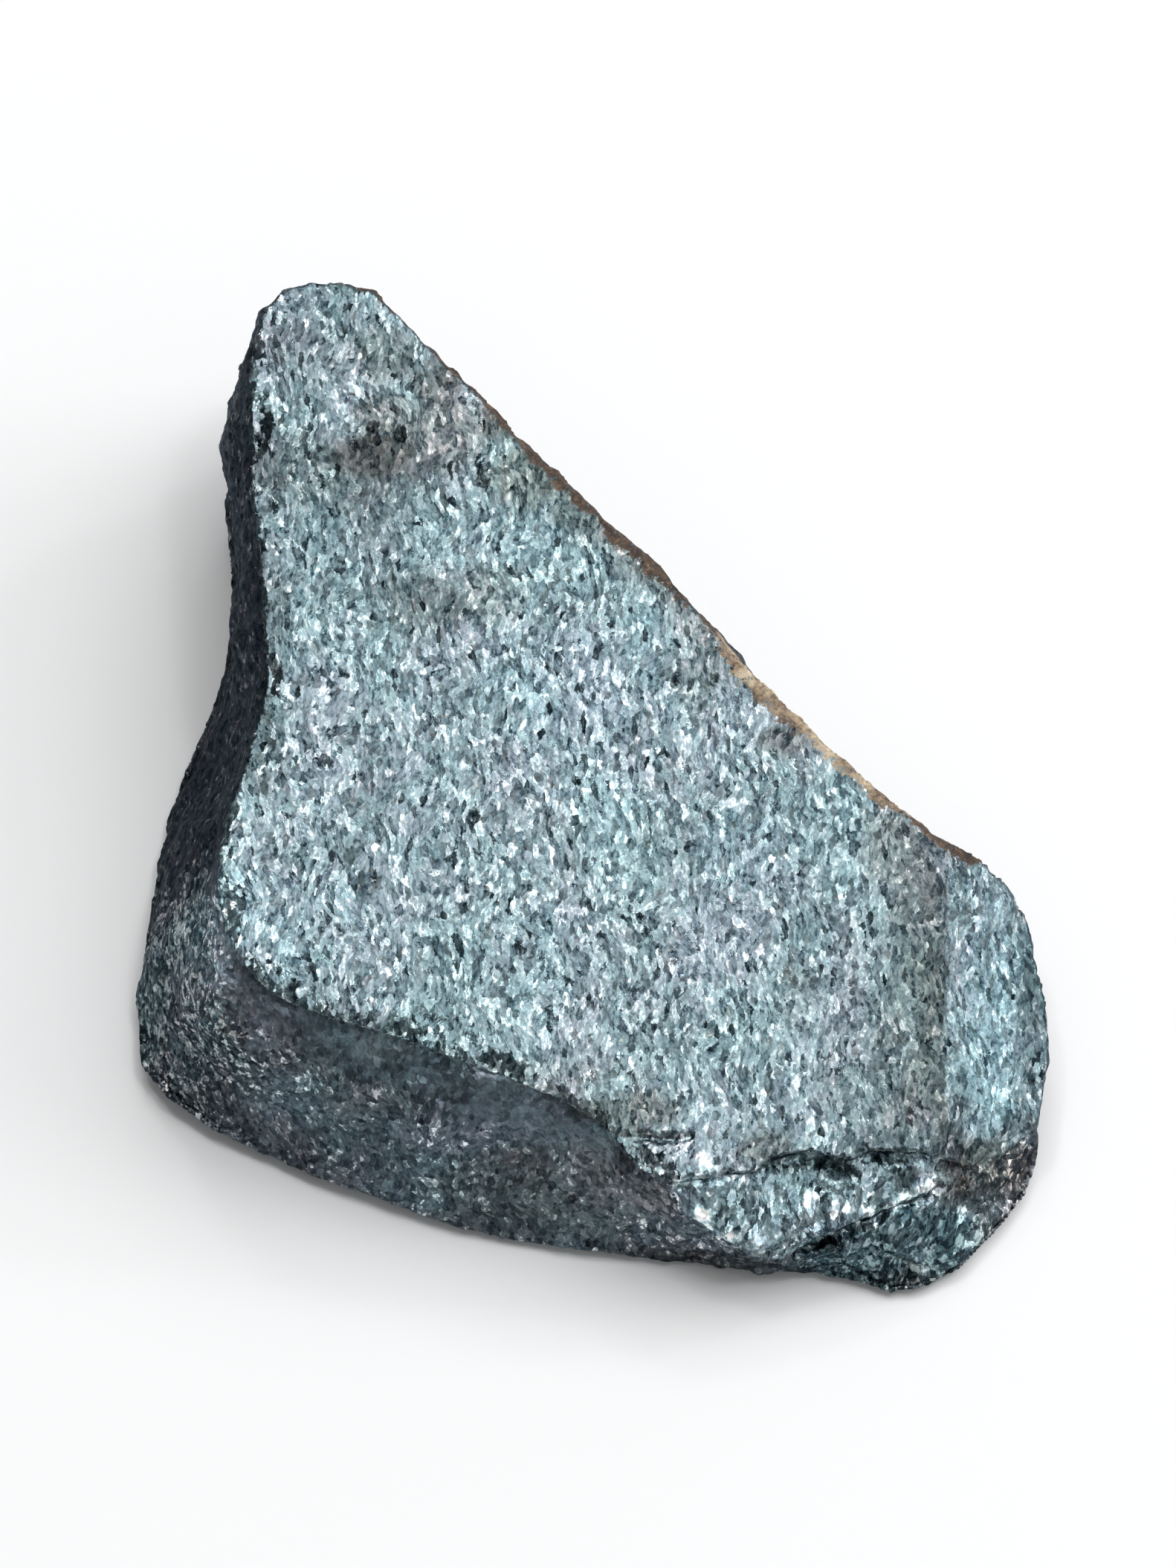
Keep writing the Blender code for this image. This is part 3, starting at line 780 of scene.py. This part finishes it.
# Iron stain along the back right rim: station, width in mm, how pale
RIM = [(4.0, 0.40, 0.0), (5.4, 0.44, 0.0), (6.2, 0.56, 0.1), (7.2, 0.66, 0.15), (8.8, 0.74, 0.15), (9.5, 0.90, 0.15),
       (10.6, 0.96, 0.20), (11.2, 0.88, 0.15), (11.6, 0.62, 0.1), (12.1, 0.72, 0.3), (12.7, 1.16, 1.0),
       (13.5, 1.26, 0.90), (14.3, 1.22, 0.78), (15.0, 1.26, 1.0), (15.7, 1.10, 0.8), (16.5, 0.84, 0.40), (17.6, 0.66, 0.15)]


def along_line(p, line):
    """Distance from an open line, and the place along it counted in points."""
    best = np.full(len(p), 1e9)
    place = np.zeros(len(p))
    for i in range(len(line) - 1):
        a, b = line[i], line[i + 1]
        ab = b - a
        t = np.clip(((p - a) @ ab) / max(1e-12, ab @ ab), 0.0, 1.0)
        away = np.linalg.norm(p - (a + t[:, None] * ab), axis=1)
        nearer = away < best
        best = np.where(nearer, away, best)
        place = np.where(nearer, i + t, place)
    return best, place


def within(u, v, outline):
    """How far inside an outline of readings each reading is; negative outside."""
    best = np.full(len(u), 1e9)
    odd = np.zeros(len(u), bool)
    for (u0, v0), (u1, v1) in zip(outline, outline[1:] + outline[:1]):
        du, dv = u1 - u0, v1 - v0
        t = np.clip(((u - u0) * du + (v - v0) * dv) / (du * du + dv * dv), 0.0, 1.0)
        best = np.minimum(best, np.hypot(u - u0 - t * du, v - v0 - t * dv))
        if dv:
            odd ^= ((v0 > v) != (v1 > v)) & (u < u0 + (v - v0) * du / dv)
    return np.where(odd, best, -best)


def fields(p, normal, flat_normal, sight):
    """Numbers from 0 to 1 that the material reads at each point."""
    top = top_normal()
    crest = crest_line()
    wall = 1.0 - ease(0.74, 0.90, flat_normal @ top)
    away_top = wall.copy()
    # which side of the stone: the nearest station of the crest, seen from above
    level = np.array([1.0, 1.0, 0.0])
    _, around = along_line(p * level, np.vstack([crest, crest[:1]]) * level)
    around = around + 0.7 * swell(p, 2.2, 59)
    # the left wall, where painted shade darkens the colour below
    left_shade = np.interp(around, [45.5, 49.5, 59.5, 62.0], [0.0, 1.0, 1.0, 0.4]) * away_top * ease(-0.9, -0.6, flat_normal[:, 2])
    front = np.interp(around, [35.5, 37.5, 43.5, 46.0], [0.0, 1.0, 1.0, 0.0]) * away_top
    right_back = np.interp(around, [2.0, 3.5, 17.0, 18.5], [0.0, 1.0, 1.0, 0.0]) * away_top
    # front left corner, where the flakes turn outwards
    corner = at_height(-165, 88, 3.0)
    turned = 1.0 - ease(1.8, 5.0, np.linalg.norm((p - corner) * (1.0, 0.9, 0.7), axis=1) + 0.8 * swell(p, 1.4, 58))
    wall = wall * (1.0 - 0.60 * turned)
    bite = at_height(122, 194, 2.0)
    shell = 1.0 - ease(2.4, 3.6, np.linalg.norm(p - bite, axis=1))
    wall = wall * (1.0 - 0.60 * shell)

    tone_and_shade = np.ones(len(p))
    umber = np.zeros(len(p))
    ragged = 0.22 * swell(p, 1.3, 42) + 0.12 * swell(p, 0.5, 43)
    cool = np.zeros(len(p))
    pu, pv = readings(p)
    e = math.radians(SIGHT_ELEV)
    in_sight = ease(-0.45, -0.15, flat_normal @ np.array([0.0, -math.cos(e), math.sin(e)]))
    # the cleavage goes on over the lip, the chip and the ledge's little wall
    for outline, bright in FACETS:
        u, v = np.mean(outline, axis=0)
        reach = max(math.hypot(a - u, b - v) for a, b in outline) * READ_MM
        close = 1.0 - ease(1.0, 2.0, np.linalg.norm(p - sight.spot(u, v), axis=1) - reach)
        facet = close * ease(-1.2, 1.2, within(pu, pv, outline) + 3.0 * ragged)
        wall = wall * (1.0 - facet)
        tone_and_shade *= 1.0 + (bright - 1.0) * facet * ease(0.0, 0.5, away_top)
    for (u, v), (ru, rv), bright, brown in ZONES:  # brown below 0 is blue
        close = 1.0 - ease(3.0, 5.0, np.linalg.norm(p - sight.spot(u, v), axis=1) - max(ru, rv) * READ_MM)
        inside = in_sight * close * (1.0 - ease(0.55, 1.25, np.hypot((pu - u) / ru, (pv - v) / rv) + ragged))
        tone_and_shade *= 1.0 + (bright - 1.0) * inside
        umber = np.maximum(umber, brown * inside)
        cool = np.maximum(cool, -brown * inside)
    # brownish band that ends at the ridge
    ends = ease(14, 50, pv) * (1.0 - ease(132, 156, pv)) * (1.0 - ease(147.2, 149.2, pu + 4.0 * ragged))
    band = ease(112, 138, pu) * ends
    band = band * (1.0 - wall) * (0.75 + 0.5 * swell(p * (1.0, 0.3, 1.0), 0.8, 54))
    tone_and_shade *= 1.0 - 0.36 * band
    tone_and_shade *= 1.0 - 0.26 * ease(136, 141, pu + 8.0 * ragged) * ends * (1.0 - wall)
    umber = np.maximum(umber, 0.75 * band)
    tone_and_shade *= 1.0 + 0.13 * swell(p * (1.0, 0.4, 1.0), 1.7, 44) + 0.10 * swell(p, 4.5, 45)

    # duller, browner strip of the top just inside the back right rim
    away, place = along_line(p, crest[4:19])
    place = place + 4.0
    strip = 1.0 - ease(0.7, 1.9, away + 0.5 * swell(p, 1.0, 64))
    strip = strip * (1.0 - wall) * np.interp(place, [8.0, 8.8, 12.9, 13.7], [0.0, 1.0, 0.8, 0.0])
    tone_and_shade *= 1.0 - 0.24 * strip
    umber = np.maximum(umber, np.interp(place, [8.5, 13.0], [0.75, 0.45]) * strip)

    # weathered joint face at the back right: stained in patches, most along its rim
    width = np.interp(place, [r[0] for r in RIM], [r[1] for r in RIM])
    pale = np.interp(place, [r[0] for r in RIM], [r[2] for r in RIM])
    width = 0.85 * width * (1.0 + 0.30 * swell(p, 0.9, 46))
    rim = 1.0 - ease(0.75, 1.3, away / width)
    patch = ease(-0.45, 0.65, swell(p, 3.2, 47) + 0.5 * swell(p, 1.1, 48) + 0.3 * swell(p, 0.5, 60) + 0.85 - 0.35 * away)
    stain = np.maximum(rim, right_back * patch * 0.9)
    pale = pale * (1.0 - ease(0.6, 1.7, away + 0.5 * swell(p, 0.8, 61))) * (0.95 + 0.5 * swell(p, 0.9, 63))
    pale *= 1.0 - 0.72 * right_back * ease(0.25, 0.95, away + 0.5 * swell(p, 0.6, 65))
    pale = pale + 0.40 * ease(0.1, 0.6, swell(p, 1.9, 49)) * ease(0.8, 2.0, away)
    # a little rust in the hollows of the foot
    low = 1.0 - ease(0.4, 2.2, p[:, 2])
    umber = np.maximum(umber, 0.5 * wall * low * ease(0.0, 0.5, swell(p, 2.4, 50)))
    umber = np.maximum(umber, 0.35 * wall * ease(0.15, 0.6, swell(p, 3.4, 51)))
    cool = np.maximum(cool, 0.30 * front)
    # painted shade: the left wall is darkened, as though shade fell on it
    tone_and_shade *= 1.0 - 0.68 * left_shade * (1.0 - turned)
    # just under the crest of the front wall the rock is rubbed smoother
    brow, _ = along_line(p, crest[38:50])
    calm = wall * (1.0 - ease(0.9, 2.4, brow + 0.5 * swell(p, 1.6, 53)))
    tone_and_shade *= 1.0 + 0.24 * front * wall
    tone_and_shade *= 1.0 - 0.34 * turned * ease(0.1, 0.5, away_top) - 0.25 * shell * ease(0.1, 0.5, away_top)
    # flakes stand out more where the corners turn
    tip = at_height(170, 158, 2.5)
    tip = 1.0 - ease(1.2, 2.6, np.linalg.norm(p - tip, axis=1))
    lively = np.maximum(np.maximum(turned, shell), tip * away_top) * np.maximum(wall, 0.5 * tip) * 2.4 + 0.25 * away_top * ease(0.1, 0.6, swell(p, 3.0, 62))
    calm = calm - (1.1 + 0.6 * swell(p, 0.8, 57)) * lively.clip(0.0, 1.0)
    # painted glints: the listed bright spots are put into the base colour
    painted_glint = np.zeros(len(p))
    for (u, v), (ru, rv) in PAINTED_GLINTS:
        close = 1.0 - ease(0.8, 1.4, np.linalg.norm(p - sight.spot(u, v), axis=1))
        painted_glint = np.maximum(painted_glint, close * (1.0 - ease(0.6, 1.2, np.hypot((pu - u) / ru, (pv - v) / rv))))
    hue = 0.5 + 0.8 * swell(p * (1.0, 0.6, 1.0), 2.6, 55) + 0.4 * swell(p, 1.1, 56)
    return {"wall": wall, "tone_and_shade": tone_and_shade, "umber": umber, "cool": cool, "stain": stain, "pale": pale,
            "painted_glint": painted_glint, "calm": calm, "hue": np.clip(hue, 0.0, 1.0)}


stone, middle = make_stone()
tris = sum(len(poly.vertices) - 2 for poly in stone.data.polygons)
print("stone triangles", tris, "middle", middle)


# ----------------------------------------------------------------- materials
class Graph:
    """A short way to write node trees."""

    def __init__(self, material):
        material.use_nodes = True
        self.tree = material.node_tree
        self.shader = self.tree.nodes["Principled BSDF"]

    def node(self, kind, inputs=None, **settings):
        made = self.tree.nodes.new(kind)
        for k, v in settings.items():
            setattr(made, k, v)
        for k, v in (inputs or {}).items():
            if isinstance(v, bpy.types.NodeSocket):
                self.tree.links.new(v, made.inputs[k])
            else:
                made.inputs[k].default_value = v
        return made

    def math(self, op, a, b=None, c=None, clamp=False):
        values = {0: a}
        if b is not None:
            values[1] = b
        if c is not None:
            values[2] = c
        return self.node("ShaderNodeMath", values, operation=op, use_clamp=clamp).outputs[0]

    def vmath(self, op, a, b=None, scale=None):
        values = {0: a}
        if b is not None:
            values[1] = b
        if scale is not None:
            values["Scale"] = scale
        return self.node("ShaderNodeVectorMath", values, operation=op).outputs[0]

    def length(self, a):
        return self.node("ShaderNodeVectorMath", {0: a}, operation="LENGTH").outputs[1]

    def mix(self, factor, a, b, blend="MIX"):
        n = self.node("ShaderNodeMix", data_type="RGBA", blend_type=blend)
        for k, v in ((0, factor), (6, a), (7, b)):
            if isinstance(v, bpy.types.NodeSocket):
                self.tree.links.new(v, n.inputs[k])
            else:
                n.inputs[k].default_value = v
        return n.outputs[2]

    def blend(self, factor, a, b):
        """a to b by factor, for single numbers."""
        n = self.node("ShaderNodeMix", data_type="FLOAT", clamp_factor=False)
        for k, v in ((0, factor), (2, a), (3, b)):
            if isinstance(v, bpy.types.NodeSocket):
                self.tree.links.new(v, n.inputs[k])
            else:
                n.inputs[k].default_value = v
        return n.outputs[0]

    def ramp(self, value, stops):
        n = self.node("ShaderNodeValToRGB", {0: value})
        r = n.color_ramp
        while len(r.elements) > 1:
            r.elements.remove(r.elements[-1])
        r.elements[0].position = stops[0][0]
        r.elements[0].color = (*stops[0][1], 1.0)
        for pos, col in stops[1:]:
            e = r.elements.new(pos)
            e.color = (*col, 1.0)
        return n.outputs[0]

    def map(self, value, a, b, c, d, smooth=True):
        n = self.node("ShaderNodeMapRange", {0: value, 1: a, 2: b, 3: c, 4: d},
                      interpolation_type="SMOOTHSTEP" if smooth else "LINEAR")
        return n.outputs[0]

    def noise(self, where, scale, detail=2.0, rough=0.5):
        return self.node("ShaderNodeTexNoise", {"Vector": where, "Scale": scale, "Detail": detail, "Roughness": rough})

    def cells(self, where, feature="F1"):
        return self.node("ShaderNodeTexVoronoi", {"Vector": where, "Scale": 1.0}, feature=feature)

    def parts(self, colour):
        return self.node("ShaderNodeSeparateColor", {0: colour}).outputs

    def field(self, name):
        return self.node("ShaderNodeAttribute", attribute_name=name).outputs["Fac"]

    def link(self, a, name):
        self.tree.links.new(a, self.shader.inputs[name])


def hematite_material():
    mat = bpy.data.materials.new("hematite")
    g = Graph(mat)
    where = g.node("ShaderNodeTexCoord").outputs["Object"]
    p = g.vmath("SCALE", where, scale=1000.0)               # millimetres
    wall, tone_and_shade, umber = g.field("wall"), g.field("tone_and_shade"), g.field("umber")
    stain, pale, painted_glint = g.field("stain"), g.field("pale"), g.field("painted_glint")

    # the flakes' grain wanders a little, and their outlines are ragged
    bend = g.vmath("SUBTRACT", g.noise(p, 0.45, 1.0).outputs["Color"], (0.5, 0.5, 0.5))
    fray = g.vmath("SUBTRACT", g.noise(p, 5.5, 2.0, 0.6).outputs["Color"], (0.5, 0.5, 0.5))
    q = g.vmath("ADD", p, g.vmath("ADD", g.vmath("SCALE", bend, scale=0.9), g.vmath("SCALE", fray, scale=0.17)))

    # flakes on the cleavage: thin, longer than wide
    flake = g.cells(g.vmath("MULTIPLY", q, (5.5, 2.3, 5.5))).outputs["Color"]
    # cut grains on the walls
    grain = g.cells(g.vmath("MULTIPLY", q, (4.8, 4.2, 3.8))).outputs["Color"]
    # splinters within both, and fibres along the grain
    tiny = g.cells(g.vmath("MULTIPLY", q, (11.0, 6.0, 8.0))).outputs["Color"]
    fibre = g.noise(g.vmath("MULTIPLY", q, (1.0, 0.36, 0.8)), 9.0, 2.0, 0.6).outputs["Fac"]

    # either the one or the other, with a ragged border between them
    speck = g.noise(p, 3.2, 5.0, 0.65).outputs["Fac"]
    side = g.map(g.math("ADD", wall, g.map(speck, 0.35, 0.65, -0.2, 0.2)), 0.44, 0.56, 0.0, 1.0)
    f, c, t = g.parts(flake), g.parts(grain), g.parts(tiny)
    pick = g.blend(side, f[0], c[0])
    pick2 = g.blend(side, f[1], c[1])
    pick3 = g.blend(side, f[2], c[2])

    # brightness of each flake, partly its own tone and partly painted glints in the base colour: mostly middling, a
    # few dark, a few bright painted glints
    level = g.math("ADD", g.math("MULTIPLY", pick, 0.62), g.math("MULTIPLY", t[0], 0.28))
    level = g.math("ADD", level, g.map(fibre, 0.25, 0.75, -0.20, 0.30, smooth=False))
    level = g.blend(g.math("MULTIPLY", g.field("calm"), 0.55), level, 0.46)
    level = g.math("ADD", level, g.math("MULTIPLY", painted_glint, 0.50))
    level = g.math("SUBTRACT", level, g.math("MULTIPLY", umber, 0.08))
    # the pale top end of these ramps is painted glint
    on_cleave = g.ramp(level, [
        (0.08, (0.026, 0.044, 0.056)), (0.28, (0.080, 0.118, 0.136)), (0.50, (0.148, 0.203, 0.224)),
        (0.72, (0.225, 0.294, 0.316)), (0.88, (0.400, 0.482, 0.500)), (0.97, (0.720, 0.800, 0.810))])
    on_wall = g.ramp(level, [
        (0.08, (0.030, 0.043, 0.054)), (0.35, (0.070, 0.091, 0.108)), (0.60, (0.110, 0.137, 0.158)),
        (0.80, (0.170, 0.204, 0.228)), (0.90, (0.330, 0.380, 0.400)), (0.98, (0.700, 0.760, 0.780))])
    base = g.mix(side, on_cleave, on_wall)
    # the grey leans to green here and to purple there, and a little from flake to flake
    lean_to = g.math("ADD", g.math("MULTIPLY", g.field("hue"), 0.6), g.math("MULTIPLY", pick3, 0.4))
    hue = g.ramp(lean_to, [(0.15, (0.93, 1.02, 1.01)), (0.50, (1.0, 1.0, 1.0)), (0.85, (1.09, 0.965, 1.005))])
    base = g.mix(1.0, base, hue, "MULTIPLY")
    # large patches, and the painted shade of the left wall, the ledge step and the foot
    shade = g.vmath("MULTIPLY", base, g.node("ShaderNodeCombineXYZ", {0: tone_and_shade, 1: tone_and_shade, 2: tone_and_shade}).outputs[0])
    brown = g.vmath("MULTIPLY", shade, (1.15, 0.99, 0.885))
    base = g.mix(umber, shade, brown)
    base = g.mix(g.field("cool"), base, g.vmath("MULTIPLY", base, (0.80, 1.0, 1.06)))

    # iron stain: brown to cream, no metal
    crust = g.noise(p, 7.0, 4.0, 0.7).outputs["Fac"]
    ragged = g.math("ADD", g.map(speck, 0.35, 0.65, -0.30, 0.30), g.map(crust, 0.35, 0.65, -0.20, 0.20))
    amount = g.map(g.math("ADD", stain, ragged), 0.30, 0.80, 0.0, 1.0)
    rust = g.ramp(g.math("ADD", g.math("MULTIPLY", pale, 0.62), g.math("ADD", g.map(speck, 0.3, 0.7, -0.10, 0.22, smooth=False),
                                                                       g.map(crust, 0.3, 0.7, -0.10, 0.22, smooth=False))), [
        (0.0, (0.018, 0.013, 0.011)), (0.18, (0.046, 0.031, 0.023)), (0.36, (0.118, 0.080, 0.054)),
        (0.64, (0.420, 0.330, 0.225)), (0.92, (0.700, 0.610, 0.480))])
    base = g.mix(amount, base, rust)
    g.link(base, "Base Color")
    g.link(g.math("SUBTRACT", 1.0, g.math("MULTIPLY", amount, 0.97)), "Metallic")
    g.shader.inputs["Specular Tint"].default_value = (0.45, 0.47, 0.50, 1.0)

    rough = g.map(pick2, 0.0, 1.0, 0.22, 0.42, smooth=False)
    rough = g.math("ADD", rough, g.math("MULTIPLY", wall, 0.10))
    rough = g.math("ADD", rough, g.math("MULTIPLY", umber, 0.06))
    rough = g.math("ADD", rough, g.math("MULTIPLY", amount, 0.30), clamp=True)
    g.link(rough, "Roughness")

    # every flake lies at its own slant
    own = g.vmath("SUBTRACT", g.mix(side, flake, grain), (0.5, 0.5, 0.5))
    far = g.map(pick2, 0.62, 1.0, 0.34, 0.75)
    lean = g.vmath("SCALE", own, scale=1.0)
    lean = g.vmath("MULTIPLY", lean, g.node("ShaderNodeCombineXYZ", {0: far, 1: far, 2: far}).outputs[0])
    lean = g.vmath("ADD", lean, g.vmath("SCALE", g.vmath("SUBTRACT", tiny, (0.5, 0.5, 0.5)), scale=0.22))
    height = g.math("ADD", g.math("MULTIPLY", fibre, 1.5), g.math("MULTIPLY", pick, 0.6))
    bump = g.node("ShaderNodeBump", {"Height": height, "Strength": 0.45, "Distance": 0.00003}).outputs[0]
    g.link(g.vmath("NORMALIZE", g.vmath("ADD", bump, lean)), "Normal")
    return mat


stone.data.materials.clear()
stone.data.materials.append(hematite_material())
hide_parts("stone")
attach(stone, "root")

# -------------------------------------------------------------------- studio
PHOTO_W, PHOTO_H = 1582, 2109
FRAME_MM = 41.4        # width of the picture at the stone

floor_mesh = bpy.data.meshes.new("floor")
bm = bmesh.new()
bmesh.ops.create_grid(bm, x_segments=1, y_segments=1, size=2.5)
bm.to_mesh(floor_mesh)
bm.free()
floor = bpy.data.objects.new("floor", floor_mesh)
bpy.context.collection.objects.link(floor)
paper = bpy.data.materials.new("paper")
paper.use_nodes = True
paper.node_tree.nodes["Principled BSDF"].inputs["Base Color"].default_value = (0.88, 0.885, 0.89, 1.0)
paper.node_tree.nodes["Principled BSDF"].inputs["Roughness"].default_value = 0.9
paper.node_tree.nodes["Principled BSDF"].inputs["Specular IOR Level"].default_value = 0.1
floor_mesh.materials.append(paper)


# power for a wanted brightness of the panel: W = pi * area * radiance
def panel(name, direction, distance, size, radiance, colour=(1.0, 1.0, 1.0)):
    light = bpy.data.lights.new(name, "AREA")
    light.shape = "RECTANGLE"
    light.size, light.size_y = size
    light.energy = math.pi * size[0] * size[1] * radiance
    light.color = colour
    obj = bpy.data.objects.new(name, light)
    d = Vector(direction).normalized()
    obj.location = d * distance
    obj.rotation_euler = d.to_track_quat("Z", "Y").to_euler()
    bpy.context.collection.objects.link(obj)
    return obj


panel("key", (0.26, 0.28, 0.92), 0.7, (0.74, 0.74), 1.95)
panel("side", (0.93, 0.10, 0.42), 0.8, (0.40, 0.60), 2.2)
for i, (x, y, z) in enumerate([(-0.10, 0.70, 0.70), (0.75, 0.50, 0.62), (0.28, -0.12, 0.95), (-0.25, 0.25, 0.93)]):
    panel("spark_%d" % i, (x, y, z), 0.75, (0.07, 0.07), 24.0)

world = bpy.data.worlds.new("studio")
bpy.context.scene.world = world
world.use_nodes = True
wt = world.node_tree
sky = wt.nodes["Background"]
direction = wt.nodes.new("ShaderNodeTexCoord")
split = wt.nodes.new("ShaderNodeSeparateXYZ")
wt.links.new(direction.outputs["Generated"], split.inputs[0])


def world_ramp(value, stops):
    n = wt.nodes.new("ShaderNodeValToRGB")
    wt.links.new(value, n.inputs[0])
    n.color_ramp.elements[0].position = stops[0][0]
    n.color_ramp.elements[0].color = (*([stops[0][1]] * 3), 1.0)
    n.color_ramp.elements[1].position = stops[1][0]
    n.color_ramp.elements[1].color = (*([stops[1][1]] * 3), 1.0)
    return n.outputs[0]


# brighter towards the horizon, darker towards the left
rise = world_ramp(split.outputs["Z"], ((0.15, 0.70), (0.60, 0.42)))
across = wt.nodes.new("ShaderNodeMapRange")
wt.links.new(split.outputs["X"], across.inputs[0])
across.inputs[1].default_value, across.inputs[2].default_value = -0.9, 0.3
across.inputs[3].default_value, across.inputs[4].default_value = 0.35, 1.0
wt.links.new(rise, sky.inputs["Color"])
wt.links.new(across.outputs[0], sky.inputs["Strength"])

cam_data = bpy.data.cameras.new("camera")
cam_data.sensor_width = 36.0
cam_data.sensor_height = 36.0
cam_data.lens = 36.0 * SIGHT_DIST / (FRAME_MM * PHOTO_H / PHOTO_W)
cam_data.clip_start = 0.01
cam_data.clip_end = 20.0
cam = bpy.data.objects.new("camera", cam_data)
bpy.context.collection.objects.link(cam)
e = math.radians(SIGHT_ELEV)
aim = Vector((-middle[0], -middle[1], SIGHT_Z)) * MM
cam.location = aim + Vector((0.0, -math.cos(e), math.sin(e))) * SIGHT_DIST * MM
cam.rotation_euler = (math.radians(90.0) - e, 0.0, 0.0)
bpy.context.scene.camera = cam

bpy.context.scene.view_settings.view_transform = "Standard"
bpy.context.scene.view_settings.look = "None"
bpy.context.scene.view_settings.exposure = 0.0
bpy.context.scene.view_settings.gamma = 1.0
